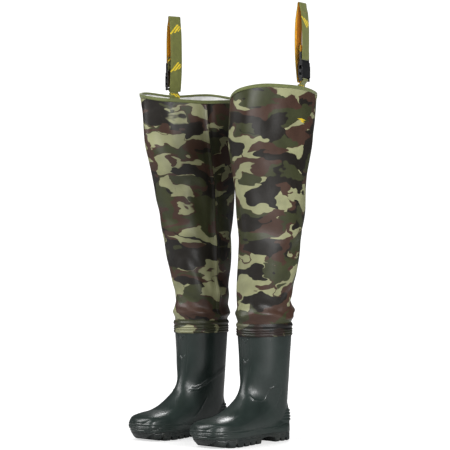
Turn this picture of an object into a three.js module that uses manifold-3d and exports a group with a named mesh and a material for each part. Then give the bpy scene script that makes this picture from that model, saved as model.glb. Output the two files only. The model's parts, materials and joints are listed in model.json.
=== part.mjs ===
// Hip waders: a pair of thigh-length waterproof legs, each welded to a moulded boot, with a buckled belt strap at each hip.
// Millimetres, +Z up. The toes point along -Y, +X is the wearer's left, and the origin is on the floor in the
// middle of the pair's outline. The left wader is modelled, and the right one is its mirror image.
import * as THREE from "three";
import { mergeVertices } from "three/addons/utils/BufferGeometryUtils.js";
import Module from "manifold-3d";

const wasm = await Module();
wasm.setup();

// ---- Driving dimensions ----
const seatGap = 0.3; // between two pieces that touch
const flatRoom = 1.2; // between a strip laid flat and the flats of an oval inside which it lies
const stance = 210; // between the two boots' centre lines

const boot = {
  length: 295, // outsole, heel to toe
  heelReach: 70, // shaft's centre line back to the heel
  width: 107, // outsole at the ball of the foot
  soleHeight: 24, // floor to the top of the outsole
  instepHeight: 111, // floor to the bend between vamp and shaft
  shaftHeight: 262, // floor to the shaft's top edge
  shaftDepth: 141, // shaft's mouth, front to back
  shaftWidth: 120, // shaft's mouth, side to side
  wall: 3.2,
};
const tread = { grooveWidth: 7, grooveDepth: 6, forePitch: 26, heelPitch: 21, archHeight: 10, toeRise: 6 };
const heelLength = 62; // heel block, front to back
const liningThickness = 1.2;
const insoleThickness = 4;
const spur = { ridges: 4, pitch: 7, height: 3.6, width: 30, reach: 3 }; // kick-off ridges on the back of the heel

const leg = {
  wall: 1,
  rimHeight: 838, // floor to the rim, in the middle of the mouth
  mouthDepth: 285, // the rim's oval, front to back
  mouthWidth: 142, // the rim's oval, side to side
  lean: 40, // how far out the mouth's middle lies from the boot's
  sway: 8, // how far the leg's middle moves back at the knee, and forward at the mouth
  twist: 5, // degrees that the mouth's front turns outwards
  sideSlope: 0.2, // rise of the rim per millimetre outwards
  backSlope: -0.03, // rise of the rim per millimetre backwards
};
const band = { below: 7, above: 24, thickness: 1.6, ridge: 1.2, ridges: 3 }; // about the shaft's top edge
const hem = { height: 9, thickness: 1 };
const seamTape = { width: 14, thickness: 0.8 };

const knee = {
  height: 505,
  axisForward: 45, // hinge line, ahead of the leg's middle
  bend: 45, // degrees of fold that the soft wedge leaves room for
  clearance: 1.5, // degrees kept clear on each side of the wedge
};

const webbing = { width: 34, thickness: 1.6 };
const strap = {
  height: 196, // hinge line to the top of the fold
  spread: 10, // half the gap between the two plies
  noseRadius: 2.6, // rolled edge where the strap turns over the hem
  frontTop: 172, // height at which the front ply starts
  turnTop: 93, // height of the stitching that closes the turn round the buckle's bars
  anchorDrop: 34, // how far the stitched end reaches down inside the leg
  behind: 6, // degrees round the rim's oval, backwards from its outermost point
  facing: 12, // degrees that the strap's flat side turns backwards
};
const buckle = {
  offset: 6.5, // mid-plane, out from the hinge line
  thickness: 11,
  rail: 2.2,
  face: 1.8, // socket's face plates
  barRadius: 2,
  barHeight: 11, // tab bar above the hinge line
  socketBottom: 16,
  socketTop: 44,
  sideWall: 6, // height of the socket's closed sides
  base: 8, // plug's cross block
  lowerBar: 62, // height of the bar that the webbing turns round
  upperBar: 74,
  slack: 0.4, // round the webbing and the moving pieces
  armThickness: 2.2,
  tongueWidth: 8,
};

// ---- Shape helpers ----
const colour = (hex, roughness, metalness = 0) => new THREE.MeshStandardMaterial({ color: hex, roughness, metalness });
const materials = {
  bootRubber: colour(0x2e3a35, 0.42),
  soleRubber: colour(0x2b3532, 0.5),
  camouflage: colour(0x5b6240, 0.35),
  binding: colour(0x5f7038, 0.6),
  webbing: colour(0x66723f, 0.8),
  plastic: colour(0x17181b, 0.4),
  lining: colour(0xd8d8d4, 0.9),
  insole: colour(0x3a3c3e, 0.9),
};

function indexed(points, triangles) {
  const geometry = new THREE.BufferGeometry();
  geometry.setAttribute("position", new THREE.Float32BufferAttribute(points.flatMap((p) => [p.x, p.y, p.z]), 3));
  geometry.setIndex(triangles.flat());
  return geometry;
}

// Triangles through a run of closed rings. A ring of one point is a pole, and closed joins the last ring to the first.
function throughRings(rings, closed = false) {
  const starts = [];
  const points = [];
  for (const ring of rings) {
    starts.push(points.length);
    points.push(...ring);
  }
  const triangles = [];
  const joins = closed ? rings.length : rings.length - 1;
  for (let k = 0; k < joins; k++) {
    const next = (k + 1) % rings.length;
    const here = (i) => starts[k] + (rings[k].length > 1 ? i : 0);
    const there = (i) => starts[next] + (rings[next].length > 1 ? i : 0);
    const count = Math.max(rings[k].length, rings[next].length);
    for (let i = 0; i < count; i++) {
      const j = (i + 1) % count;
      if (rings[k].length > 1) triangles.push([here(i), here(j), there(j)]);
      if (rings[next].length > 1) triangles.push([here(i), there(j), there(i)]);
    }
  }
  const solid = toSolid(indexed(points, triangles));
  return solid.volume() > 0 ? solid : toSolid(indexed(points, triangles.map(([a, b, c]) => [a, c, b])));
}

function toSolid(geometry) {
  const bare = geometry.clone();
  bare.deleteAttribute("normal");
  bare.deleteAttribute("uv");
  const merged = mergeVertices(bare, 1e-3);
  return new wasm.Manifold(
    new wasm.Mesh({
      numProp: 3,
      vertProperties: new Float32Array(merged.attributes.position.array),
      triVerts: new Uint32Array(merged.index.array),
    }),
  );
}

function toGeometry(solid) {
  const mesh = solid.getMesh();
  const points = [];
  for (let i = 0; i < mesh.numVert; i++) {
    points.push(new THREE.Vector3(...mesh.vertProperties.slice(i * mesh.numProp, i * mesh.numProp + 3)));
  }
  const triangles = [];
  for (let i = 0; i < mesh.numTri; i++) triangles.push([...mesh.triVerts.slice(3 * i, 3 * i + 3)]);
  const geometry = indexed(points, triangles);
  geometry.computeVertexNormals();
  return geometry;
}

function box(low, high) {
  const size = high.map((value, i) => value - low[i]);
  const middle = high.map((value, i) => (value + low[i]) / 2);
  return toSolid(new THREE.BoxGeometry(...size).translate(...middle));
}

// A prism whose outline is drawn on the plane across one axis: "x" takes (y, z), "y" takes (x, z) and "z" takes (x, y).
function prism(outline, axis, from, to) {
  const shape = outline instanceof THREE.Shape ? outline : new THREE.Shape(outline.map(([a, b]) => new THREE.Vector2(a, b)));
  const made = new THREE.ExtrudeGeometry(shape, { depth: to - from, bevelEnabled: false, curveSegments: 10 });
  if (axis === "x") {
    made.applyMatrix4(new THREE.Matrix4().set(0, 0, 1, from, 1, 0, 0, 0, 0, 1, 0, 0, 0, 0, 0, 1));
  } else if (axis === "y") {
    made.applyMatrix4(new THREE.Matrix4().set(1, 0, 0, 0, 0, 0, -1, to, 0, 1, 0, 0, 0, 0, 0, 1));
  } else {
    made.translate(0, 0, from);
  }
  return toSolid(made);
}

const joined = (...solids) => solids.reduce((sum, next) => sum.add(next));
const shareOf = (from, to, share) => from + (to - from) * share;

function piece(name, solid, material) {
  const mesh = new THREE.Mesh(toGeometry(solid), material);
  mesh.name = name;
  return mesh;
}

// ---- Boot ----
const toeReach = boot.length - boot.heelReach;
const legStart = boot.shaftHeight + seatGap;

// The sole's edge, from the middle of the heel round the outer side to the toe and back along the inner side.
// x is a share of the width (outwards is positive), and y a share of the reach towards the heel or the toe.
const soleEdge = [
  [0, 1], [0.23, 0.9], [0.35, 0.62], [0.365, 0.3], [0.35, -0.08], [0.375, -0.25], [0.44, -0.42], [0.505, -0.58],
  [0.515, -0.71], [0.455, -0.84], [0.33, -0.935], [0.13, -0.99], [-0.07, -1], [-0.26, -0.975], [-0.4, -0.9],
  [-0.475, -0.77], [-0.47, -0.61], [-0.405, -0.46], [-0.33, -0.29], [-0.31, -0.12], [-0.335, 0.2], [-0.345, 0.62],
  [-0.23, 0.9],
];

function soleOutline(inset, samples = 46) {
  const edge = soleEdge.map(
    ([x, y]) => new THREE.Vector3(x * boot.width, y * (y > 0 ? boot.heelReach : toeReach), 0),
  );
  const curve = new THREE.CatmullRomCurve3(edge, true);
  const outline = [];
  for (let i = 0; i < samples; i++) {
    const point = curve.getPointAt(i / samples);
    const along = curve.getTangentAt(i / samples);
    outline.push([point.x + along.y * inset, point.y - along.x * inset]);
  }
  return outline;
}

// Sections fan round from the upright toe to the level shaft mouth. Each runs from a front (or top) point to a back
// (or bottom) point: [front y, front z, back y, back z, half width, outward shift, flatness of the back half].
const footY = (share) => share * (share > 0 ? boot.heelReach : toeReach);
const footZ = (share) => shareOf(boot.soleHeight, boot.instepHeight, share);
const shaftZ = (share) => shareOf(boot.instepHeight, boot.shaftHeight, share);
const halfDepth = boot.shaftDepth / 2;
const halfWidth = boot.shaftWidth / 2;
const bootSections = [
  [footY(-0.985), footZ(0.22), footY(-0.985), footZ(0.02), 0.19 * boot.width, -0.05 * boot.width, 2.6],
  [footY(-0.945), footZ(0.36), footY(-0.965), footZ(0), 0.35 * boot.width, -0.03 * boot.width, 3],
  [footY(-0.875), footZ(0.45), footY(-0.89), footZ(0), 0.44 * boot.width, 0, 3.4],
  [footY(-0.77), footZ(0.53), footY(-0.76), footZ(0), 0.485 * boot.width, 0.015 * boot.width, 3.8],
  [footY(-0.65), footZ(0.62), footY(-0.6), footZ(0), 0.485 * boot.width, 0.02 * boot.width, 3.8],
  [footY(-0.53), footZ(0.74), footY(-0.4), footZ(0), 0.445 * boot.width, 0.02 * boot.width, 3.4],
  [footY(-0.43), footZ(0.9), footY(-0.18), footZ(0), 0.4 * boot.width, 0.02 * boot.width, 3],
  [footY(-0.36), shaftZ(0.02), footY(0.05), footZ(0), 0.375 * boot.width, 0.01 * boot.width, 2.8],
  [footY(-0.325), shaftZ(0.13), footY(0.7), footZ(0.03), 0.36 * boot.width, 0, 2.4],
  [footY(-0.305), shaftZ(0.23), footY(0.94), footZ(0.25), 0.38 * boot.width, 0, 2.1],
  [footY(-0.298), shaftZ(0.34), footY(0.93), footZ(0.62), 0.78 * halfWidth, 0, 2],
  [footY(-0.295), shaftZ(0.45), footY(0.91), shaftZ(0.02), 0.88 * halfWidth, 0, 2],
  [-0.95 * halfDepth, shaftZ(0.6), 0.92 * halfDepth, shaftZ(0.3), 0.94 * halfWidth, 0, 2],
  [-0.97 * halfDepth, shaftZ(0.78), 0.96 * halfDepth, shaftZ(0.62), 0.97 * halfWidth, 0, 2],
  [-halfDepth, shaftZ(0.92), halfDepth, shaftZ(0.88), 0.995 * halfWidth, 0, 2],
  [-halfDepth, boot.shaftHeight, halfDepth, boot.shaftHeight, halfWidth, 0, 2],
];
const bootCurve = (pick) => new THREE.CatmullRomCurve3(bootSections.map((row) => new THREE.Vector3(...pick(row))));
const bootFront = bootCurve(([y, z]) => [0, y, z]);
const bootBack = bootCurve(([, , y, z]) => [0, y, z]);
const bootBreadth = bootCurve(([, , , , half, shift, flatness]) => [half, shift, flatness]);
const bootRows = 15;
const columns = 24; // round the boot and round the leg

function bootPoint(share, angle, inset) {
  const front = bootFront.getPoint(share);
  const back = bootBack.getPoint(share);
  const breadth = bootBreadth.getPoint(share);
  const middle = front.clone().add(back).multiplyScalar(0.5);
  const reach = front.clone().sub(middle);
  const cos = Math.cos(angle);
  const sin = Math.sin(angle);
  const vampFlatness = 2 + 0.35 * Math.max(0, 1 - 1.5 * share);
  const power = 2 / (cos < 0 ? breadth.z : vampFlatness);
  const along = Math.sign(cos) * Math.abs(cos) ** power * Math.max(reach.length() - inset, 0.5);
  const across = Math.sign(sin) * Math.abs(sin) ** power * Math.max(breadth.x - inset, 0.5);
  const toeward = Math.max(0, 1 - share * 4);
  const point = middle.addScaledVector(reach.normalize(), along);
  return point.add(new THREE.Vector3(breadth.y + across, inset * toeward, 0));
}

function bootRing(share, inset) {
  const ring = [];
  for (let i = 0; i < columns; i++) ring.push(bootPoint(share, (2 * Math.PI * i) / columns, inset));
  return ring;
}

// The boot's shape as a full body, set in from the outside by inset. lift carries its mouth above the shaft's edge.
function bootBody(inset, lift) {
  const toe = new THREE.Vector3(-0.06 * boot.width, -toeReach + 1.5 + inset, footZ(0.11));
  const rings = [[toe]];
  for (let row = 0; row <= bootRows; row++) rings.push(bootRing(row / bootRows, inset));
  rings.push(rings.at(-1).map((point) => point.clone().setZ(boot.shaftHeight + lift)));
  return throughRings([...rings, [new THREE.Vector3(0, 0, boot.shaftHeight + lift)]]);
}

const bootShell = (outer, inner) => bootBody(outer, seatGap).subtract(bootBody(inner, 5)).trimByPlane([0, 0, -1], -boot.shaftHeight);

function heelSpur() {
  const back = boot.heelReach * 0.93;
  const first = footZ(0.28);
  const ridges = [];
  for (let i = 0; i < spur.ridges; i++) {
    const z = first + i * spur.pitch;
    ridges.push(
      prism([[back - 2, z], [back + spur.reach, z + 0.8], [back + spur.reach, z + spur.height - 0.8], [back - 2, z + spur.height]],
        "x", -spur.width / 2, spur.width / 2),
    );
  }
  return ridges;
}

function outsole() {
  const reachWide = boot.width;
  const heelFront = boot.heelReach - heelLength;
  let solid = prism(soleOutline(0), "z", 0, boot.soleHeight - seatGap);
  const cut = (yLow, yHigh, depth) => {
    solid = solid.subtract(box([-reachWide, yLow, -1], [reachWide, yHigh, depth]));
  };
  const archFront = heelFront - 68;
  cut(archFront, heelFront, tread.archHeight);
  for (let y = archFront - tread.forePitch + tread.grooveWidth; y > -toeReach + 14; y -= tread.forePitch) {
    cut(y - tread.grooveWidth, y, tread.grooveDepth);
  }
  for (let y = heelFront + tread.heelPitch; y < boot.heelReach - tread.grooveWidth; y += tread.heelPitch) {
    cut(y - tread.grooveWidth / 2, y + tread.grooveWidth / 2, tread.grooveDepth);
  }
  const springStart = -0.62 * toeReach;
  return solid.warp((point) => {
    if (point[1] < springStart && point[2] < boot.soleHeight / 2) {
      point[2] += tread.toeRise * ((springStart - point[1]) / (toeReach + springStart)) ** 2;
    }
  });
}

function bootPieces() {
  const lined = boot.wall + seatGap;
  const onLining = lined + liningThickness + seatGap;
  const insoleTop = boot.soleHeight + onLining + insoleThickness;
  return [
    piece("boot_upper", joined(bootShell(0, boot.wall), ...heelSpur()), materials.bootRubber),
    piece("boot_lining", bootShell(lined, lined + liningThickness), materials.lining),
    piece("insole", bootBody(onLining, 0).trimByPlane([0, 0, -1], -insoleTop), materials.insole),
    piece("outsole", outsole(), materials.soleRubber),
  ];
}

// ---- Leg ----
// Shares of the height, of the growth in depth and in width, of the lean, of the sway and of the twist.
const legSections = [
  [0, 0, 0, 0, 0, 0], [0.05, 0, 0, 0, 0, 0], [0.157, 0.045, 0.18, 0.01, 0, 0.15], [0.26, 0.2, 0.38, 0.15, 0.4, 0.5],
  [0.364, 0.35, 0.55, 0.28, 0.6, 0.8], [0.438, 0.44, 0.73, 0.37, 0.6, 1], [0.612, 0.63, 1, 0.46, 0, 1],
  [0.79, 0.97, 1.05, 0.68, -0.85, 1], [1, 1, 1, 1, -1, 1],
];

const sectionHeights = legSections.map(([share]) => shareOf(boot.shaftHeight, leg.rimHeight, share));

// The last stretch runs on straight above the middle of the mouth, to where the rim is highest.
function legSection(z) {
  const share = (z - boot.shaftHeight) / (leg.rimHeight - boot.shaftHeight);
  let next = 1;
  while (next < legSections.length - 1 && legSections[next][0] < share) next++;
  const [low, high] = [legSections[next - 1], legSections[next]];
  const part = (share - low[0]) / (high[0] - low[0]);
  const [depth, width, lean, sway, twist] = [1, 2, 3, 4, 5].map((k) => shareOf(low[k], high[k], part));
  return {
    halfDepth: shareOf(halfDepth, leg.mouthDepth / 2, depth),
    halfWidth: shareOf(halfWidth, leg.mouthWidth / 2, width),
    out: leg.lean * lean,
    back: leg.sway * sway,
    turn: THREE.MathUtils.degToRad(leg.twist * twist),
  };
}

// A point on the leg's oval: angle 0 is outwards, a quarter turn is to the back.
function legPoint(angle, z, inset) {
  const section = legSection(z);
  const x = (section.halfWidth - inset) * Math.cos(angle);
  const y = (section.halfDepth - inset) * Math.sin(angle);
  const cos = Math.cos(section.turn);
  const sin = Math.sin(section.turn);
  return new THREE.Vector3(section.out + x * cos - y * sin, section.back + x * sin + y * cos, z);
}

function rimZ(angle) {
  const point = legPoint(angle, leg.rimHeight, 0);
  return leg.rimHeight + leg.sideSlope * (point.x - leg.lean) + leg.backSlope * point.y;
}

function legRing(height, inset) {
  const ring = [];
  for (let i = 0; i < columns; i++) {
    const angle = (2 * Math.PI * i) / columns;
    ring.push(legPoint(angle, typeof height === "function" ? height(angle) : height, inset));
  }
  return ring;
}

// The leg's shape as a full body, set in by inset and run on by reach past both of its ends.
function legBody(inset, reach) {
  const top = (angle) => rimZ(angle) + reach;
  const rings = [legStart - reach, ...sectionHeights.slice(1, -1), top].map((height) => legRing(height, inset));
  const low = new THREE.Vector3(0, 0, legStart - reach);
  const high = new THREE.Vector3(leg.lean, -leg.sway, leg.rimHeight + reach);
  return throughRings([[low], ...rings, [high]]);
}

const legTube = () => legBody(0, 0).subtract(legBody(leg.wall, 2));

// The fold at the knee is a wedge that opens backwards from the hinge line. above and below are its two sides.
function kneeWedge(grow) {
  const far = leg.mouthDepth;
  const rise = (far + knee.axisForward) * Math.tan(THREE.MathUtils.degToRad(knee.bend / 2 + knee.clearance));
  const apex = -knee.axisForward - grow;
  const low = [[apex, knee.height - grow], [far, knee.height - rise - grow]];
  const high = [[apex, knee.height + grow], [far, knee.height + rise + grow]];
  return { low, high };
}

function kneeCut(side) {
  const far = leg.mouthDepth;
  const { low, high } = kneeWedge(seatGap / 2);
  const outline =
    side === "below"
      ? [[-far, low[0][1]], ...low, [far, 2 * leg.rimHeight], [-far, 2 * leg.rimHeight]]
      : [[-far, high[0][1]], ...high, [far, -leg.rimHeight], [-far, -leg.rimHeight]].reverse();
  return prism(outline, "x", -far, far);
}

function kneeFold() {
  const { low, high } = kneeWedge(-seatGap);
  const blunt = 3;
  const far = leg.mouthDepth;
  const slope = (high[1][1] - high[0][1]) / (high[1][0] - high[0][0]);
  const start = high[0][0] + blunt;
  const outline = [[start, low[0][1] - blunt * slope], low[1], high[1], [start, high[0][1] + blunt * slope]];
  return prism(outline, "x", -far, far);
}

// A strip that lies on the leg at an angle, from one height to another, between two distances from its outer face.
function legStrip(angle, width, from, to, outside) {
  const rings = [];
  for (const z of [from, ...sectionHeights.filter((height) => height > from && height < to), to]) {
    const radius = legSection(z).halfDepth ** 2 / legSection(z).halfWidth;
    const spread = Math.min(width / 2 / legSection(z).halfDepth, width / radius);
    const at = (turn, distance) => legPoint(angle + turn * spread, z, -distance);
    rings.push([
      at(-1, outside[0]), at(0, outside[0]), at(1, outside[0]), at(1, outside[1]), at(0, outside[1]), at(-1, outside[1]),
    ]);
  }
  const middleOf = (ring) => ring.reduce((sum, p) => sum.add(p), new THREE.Vector3()).divideScalar(ring.length);
  return throughRings([[middleOf(rings[0])], ...rings, [middleOf(rings.at(-1))]]);
}

function jointBand() {
  const inner = seatGap * 2;
  const outer = inner + band.thickness;
  const low = boot.shaftHeight - band.below;
  const high = boot.shaftHeight + band.above;
  const step = (high - low) / (2 * band.ridges);
  const rings = [];
  for (let i = 0; i <= 2 * band.ridges; i++) {
    const proud = i % 2 === 1 ? band.ridge : 0;
    rings.push(bandRing(low + i * step, outer + proud));
  }
  rings.push(bandRing(high, inner), bandRing(low, inner));
  return throughRings(rings, true);
}

function bandRing(z, distance) {
  return legRing(boot.shaftHeight, -distance).map((point) => point.setZ(z));
}

function topHem() {
  const outside = seatGap + hem.thickness;
  const inside = leg.wall + seatGap;
  const raised = (offset) => (angle) => rimZ(angle) + offset;
  const rings = [
    [-outside, -hem.height], [-outside, outside], [inside + hem.thickness, outside], [inside + hem.thickness, -hem.height],
    [inside, -hem.height], [inside, seatGap], [-seatGap, seatGap], [-seatGap, -hem.height],
  ].map(([inset, offset]) => legRing(raised(offset), inset));
  return throughRings(rings, true);
}

const strapAngle = THREE.MathUtils.degToRad(strap.behind);

function strapAnchor() {
  const top = rimZ(strapAngle) - 1;
  const near = leg.wall + seatGap + hem.thickness + flatRoom;
  return legStrip(strapAngle, webbing.width, top - strap.anchorDrop, top, [-near - webbing.thickness, -near]);
}

function legPieces() {
  const tube = legTube();
  const taped = [3 * seatGap, 3 * seatGap + seamTape.thickness];
  const wedge = (knee.axisForward + 12) * Math.tan(THREE.MathUtils.degToRad(knee.bend / 2 + knee.clearance));
  const tapeBottom = boot.shaftHeight + band.above + 2;
  const tapeTop = rimZ(Math.PI) - hem.height - 2;
  const tape = (from, to) => legStrip(Math.PI, seamTape.width, from, to, taped);
  return {
    lower: [
      piece("joint_band", jointBand(), materials.camouflage),
      piece("leg_lower", tube.subtract(kneeCut("below")), materials.camouflage),
      piece("seam_tape_lower", tape(tapeBottom, knee.height - wedge), materials.camouflage),
      piece("knee_fold", tube.intersect(kneeFold()), materials.camouflage),
    ],
    upper: [
      piece("leg_upper", tube.subtract(kneeCut("above")), materials.camouflage),
      piece("seam_tape_upper", tape(knee.height + wedge, tapeTop), materials.camouflage),
      piece("top_hem", topHem(), materials.binding),
      piece("strap_anchor", strapAnchor(), materials.webbing),
    ],
  };
}

// ---- Strap, in its own frame: x outwards, y along the rim, z up, origin on the hinge line above the hem ----
const halfStrap = webbing.width / 2;

// A ribbon of webbing that follows a line of [x, z] points, with a few steps between each two of them.
function ribbon(line, width, steps) {
  const curve = new THREE.CatmullRomCurve3(line.map(([x, z]) => new THREE.Vector3(x, 0, z)));
  const samples = steps * (line.length - 1);
  const left = [];
  const right = [];
  for (let i = 0; i <= samples; i++) {
    const point = curve.getPoint(i / samples);
    const along = curve.getTangent(i / samples);
    const [dx, dz] = [(-along.z * webbing.thickness) / 2, (along.x * webbing.thickness) / 2];
    left.push([point.x + dx, point.z + dz]);
    right.push([point.x - dx, point.z - dz]);
  }
  return prism([...left, ...right.reverse()], "y", -width / 2, width / 2);
}

function hipStrap() {
  const { height, spread, frontTop } = strap;
  return ribbon(
    [
      [-2.5, 3.5], [-4.6, 12], [-0.85 * spread, 50], [-spread, 100], [-0.85 * spread, 150], [-3.4, height - 12],
      [-2.4, height - 3], [0, height - 0.8], [2.4, height - 3], [3.4, height - 12], [0.68 * spread, frontTop],
    ],
    webbing.width, 3,
  );
}

function strapFront() {
  const { spread, frontTop, turnTop } = strap;
  return ribbon(
    [[0.7 * spread, frontTop - seatGap], [0.9 * spread, 150], [spread, 120], [spread, turnTop + seatGap]],
    webbing.width, 3,
  );
}

function strapTurn() {
  const turn = buckle.barRadius + buckle.slack + webbing.thickness / 2;
  const out = buckle.offset + turn;
  const back = buckle.offset - turn;
  const { lowerBar, upperBar, offset } = buckle;
  const underBar = [];
  for (let angle = 0; angle >= -180; angle -= 30) {
    const radians = THREE.MathUtils.degToRad(angle);
    underBar.push([offset + turn * Math.cos(radians), lowerBar + turn * Math.sin(radians)]);
  }
  return ribbon(
    [[strap.spread, strap.turnTop], [out, upperBar], ...underBar, [back, upperBar], [back, strap.turnTop]],
    webbing.width, 2,
  );
}

function strapTab() {
  const ring = buckle.barRadius + buckle.slack + webbing.thickness;
  const away = Math.hypot(buckle.offset, buckle.barHeight);
  const lean = Math.atan2(buckle.barHeight, buckle.offset);
  const open = Math.acos((strap.noseRadius - ring) / away);
  const outline = new THREE.Shape();
  outline.absarc(0, 0, strap.noseRadius, lean + open, lean - open + 2 * Math.PI, false);
  outline.absarc(buckle.offset, buckle.barHeight, ring, lean - open, lean + open, false);
  const hole = new THREE.Path();
  hole.absarc(buckle.offset, buckle.barHeight, buckle.barRadius + buckle.slack, 0, 2 * Math.PI, true);
  outline.holes.push(hole);
  return prism(outline, "y", -halfStrap + 4, halfStrap - 4);
}

const railInner = halfStrap + buckle.slack;
const railOuter = railInner + buckle.rail;
const faceOut = buckle.thickness / 2;
const faceIn = faceOut - buckle.face;
const across = (xLow, xHigh, yLow, yHigh, zLow, zHigh) =>
  box([buckle.offset + xLow, yLow, zLow], [buckle.offset + xHigh, yHigh, zHigh]);

function barAt(radius, height) {
  const bar = new THREE.CylinderGeometry(radius, radius, 2 * railInner + 2, 12);
  return toSolid(bar.translate(buckle.offset, 0, height));
}

function buckleSocket() {
  const hollow = across(-faceIn, faceIn, -railOuter - 1, railOuter + 1, buckle.socketBottom + buckle.sideWall, buckle.socketTop + 1);
  const body = across(-faceOut, faceOut, -railOuter, railOuter, buckle.socketBottom, buckle.socketTop).subtract(hollow);
  const rails = [-1, 1].map((side) => {
    const [low, high] = [side * railInner, side * railOuter].sort((a, b) => a - b);
    return across(-4, 4, low, high, buckle.barHeight - 3.5, buckle.socketBottom + 1);
  });
  return joined(body, barAt(buckle.barRadius, buckle.barHeight), ...rails);
}

const baseLow = buckle.socketTop + seatGap;
const baseHigh = baseLow + buckle.base;
const plugTip = buckle.socketBottom + buckle.sideWall + buckle.slack;

function bucklePlug() {
  const base = across(-faceOut + 1, faceOut - 1, -railOuter, railOuter, baseLow, baseHigh);
  const tongue = across(-2, 2, -buckle.tongueWidth / 2, buckle.tongueWidth / 2, plugTip, baseLow + 1);
  const rails = [-1, 1].map((side) => {
    const [low, high] = [side * railInner, side * railOuter].sort((a, b) => a - b);
    return across(-2.6, 2.6, low, high, baseHigh - 1, buckle.upperBar + 2.5);
  });
  const lower = barAt(buckle.barRadius, buckle.lowerBar);
  const upper = across(-buckle.barRadius, buckle.barRadius, -railInner - 1, railInner + 1, buckle.upperBar - 2, buckle.upperBar + 2.5);
  return joined(base, tongue, lower, upper, ...rails);
}

// A spring arm of the plug, on the side that points along y, with its press pad standing out of the socket's side.
function buckleArm(side) {
  const root = 10;
  const outer = root + buckle.armThickness;
  const pad = railOuter + 0.6;
  const outline = [
    [root, baseLow - seatGap], [outer, baseLow - seatGap], [outer + 1.5, baseLow - 6], [pad, baseLow - 9],
    [pad, baseLow - 16], [outer + 2, plugTip], [root, plugTip],
  ].map(([y, z]) => [side * y, z]);
  const half = faceIn - buckle.slack;
  return prism(side > 0 ? outline : outline.reverse(), "x", buckle.offset - half, buckle.offset + half);
}

function strapPieces() {
  return [
    piece("hip_strap", hipStrap(), materials.webbing),
    piece("strap_front", strapFront(), materials.webbing),
    piece("strap_turn", strapTurn(), materials.webbing),
    piece("strap_tab", strapTab(), materials.webbing),
    piece("buckle_socket", buckleSocket(), materials.plastic),
    piece("buckle_plug", bucklePlug(), materials.plastic),
    piece("buckle_arm_front", buckleArm(-1), materials.plastic),
    piece("buckle_arm_back", buckleArm(1), materials.plastic),
  ];
}

// ---- Assembly ----
function strapGroup() {
  const rim = rimZ(strapAngle);
  const seat = legPoint(strapAngle, rim, leg.wall / 2);
  const slopeRoom = 1.1;
  const hinge = rim + seatGap + hem.thickness + seatGap + strap.noseRadius + slopeRoom;
  const group = new THREE.Group();
  group.add(...strapPieces());
  group.position.set(seat.x, seat.y, hinge);
  group.rotation.z = THREE.MathUtils.degToRad(strap.facing);
  return group;
}

function wader(side) {
  const group = new THREE.Group();
  const { lower, upper } = legPieces();
  group.add(...bootPieces(), ...lower, ...upper, strapGroup());
  group.traverse((part) => {
    if (part.isMesh) part.name = side + "_" + part.name;
  });
  const direction = side === "left" ? 1 : -1;
  group.scale.x = direction;
  group.position.x = (direction * stance) / 2;
  return group;
}

const pair = new THREE.Group();
pair.add(wader("left"), wader("right"));
const outline = new THREE.Box3().setFromObject(pair, true);
pair.position.y = -(outline.min.y + outline.max.y) / 2;

export default pair;
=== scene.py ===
import json
import math

import bpy
import numpy as np
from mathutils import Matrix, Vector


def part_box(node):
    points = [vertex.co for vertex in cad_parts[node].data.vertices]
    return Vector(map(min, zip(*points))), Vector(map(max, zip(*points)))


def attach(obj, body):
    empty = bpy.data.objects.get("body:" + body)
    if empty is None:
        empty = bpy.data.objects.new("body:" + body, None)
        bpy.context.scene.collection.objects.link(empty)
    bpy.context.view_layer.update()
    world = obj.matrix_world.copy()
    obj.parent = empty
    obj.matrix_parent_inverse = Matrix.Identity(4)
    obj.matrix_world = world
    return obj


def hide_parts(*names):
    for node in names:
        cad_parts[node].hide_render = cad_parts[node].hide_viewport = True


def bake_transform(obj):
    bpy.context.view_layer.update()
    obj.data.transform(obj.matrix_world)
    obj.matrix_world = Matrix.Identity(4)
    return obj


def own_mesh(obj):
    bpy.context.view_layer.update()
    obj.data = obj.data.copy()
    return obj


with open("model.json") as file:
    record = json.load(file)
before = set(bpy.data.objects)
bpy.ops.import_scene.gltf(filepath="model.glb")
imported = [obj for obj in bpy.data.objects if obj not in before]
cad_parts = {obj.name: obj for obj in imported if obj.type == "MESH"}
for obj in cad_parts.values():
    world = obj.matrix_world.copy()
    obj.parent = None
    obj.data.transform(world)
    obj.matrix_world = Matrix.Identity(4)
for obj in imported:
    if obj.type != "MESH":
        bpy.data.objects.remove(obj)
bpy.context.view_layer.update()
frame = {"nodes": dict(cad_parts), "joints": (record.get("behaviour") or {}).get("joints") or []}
print("frame loaded")

# One wader is worked out in metres with its boot's centre line on x = 0, then put at its side of the pair:
# side is 1 for the wearer's left wader and -1 for the right one, which is the left one mirrored.
sides = {"left": 1, "right": -1}
soleLow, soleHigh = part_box("left_outsole")
bootMiddle = (soleLow[0] + soleHigh[0]) / 2 - 0.0005
tau = 2 * math.pi


# Share of the way from a to b, eased: 3t^2 - 2t^3, with t held between 0 and 1.
def ease(value, a, b):
    t = np.clip((value - a) / (b - a), 0, 1)
    return t * t * (3 - 2 * t)


# 1 from a to b, eased to nought over soft on either side of each.
def between(value, a, b, soft):
    return ease(value, a - soft, a + soft) * (1 - ease(value, b - soft, b + soft))


# A bell of height 1 about middle: exp(-((value - middle) / width)^2).
def bell(value, middle, width):
    return np.exp(-(((value - middle) / width) ** 2))


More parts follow.
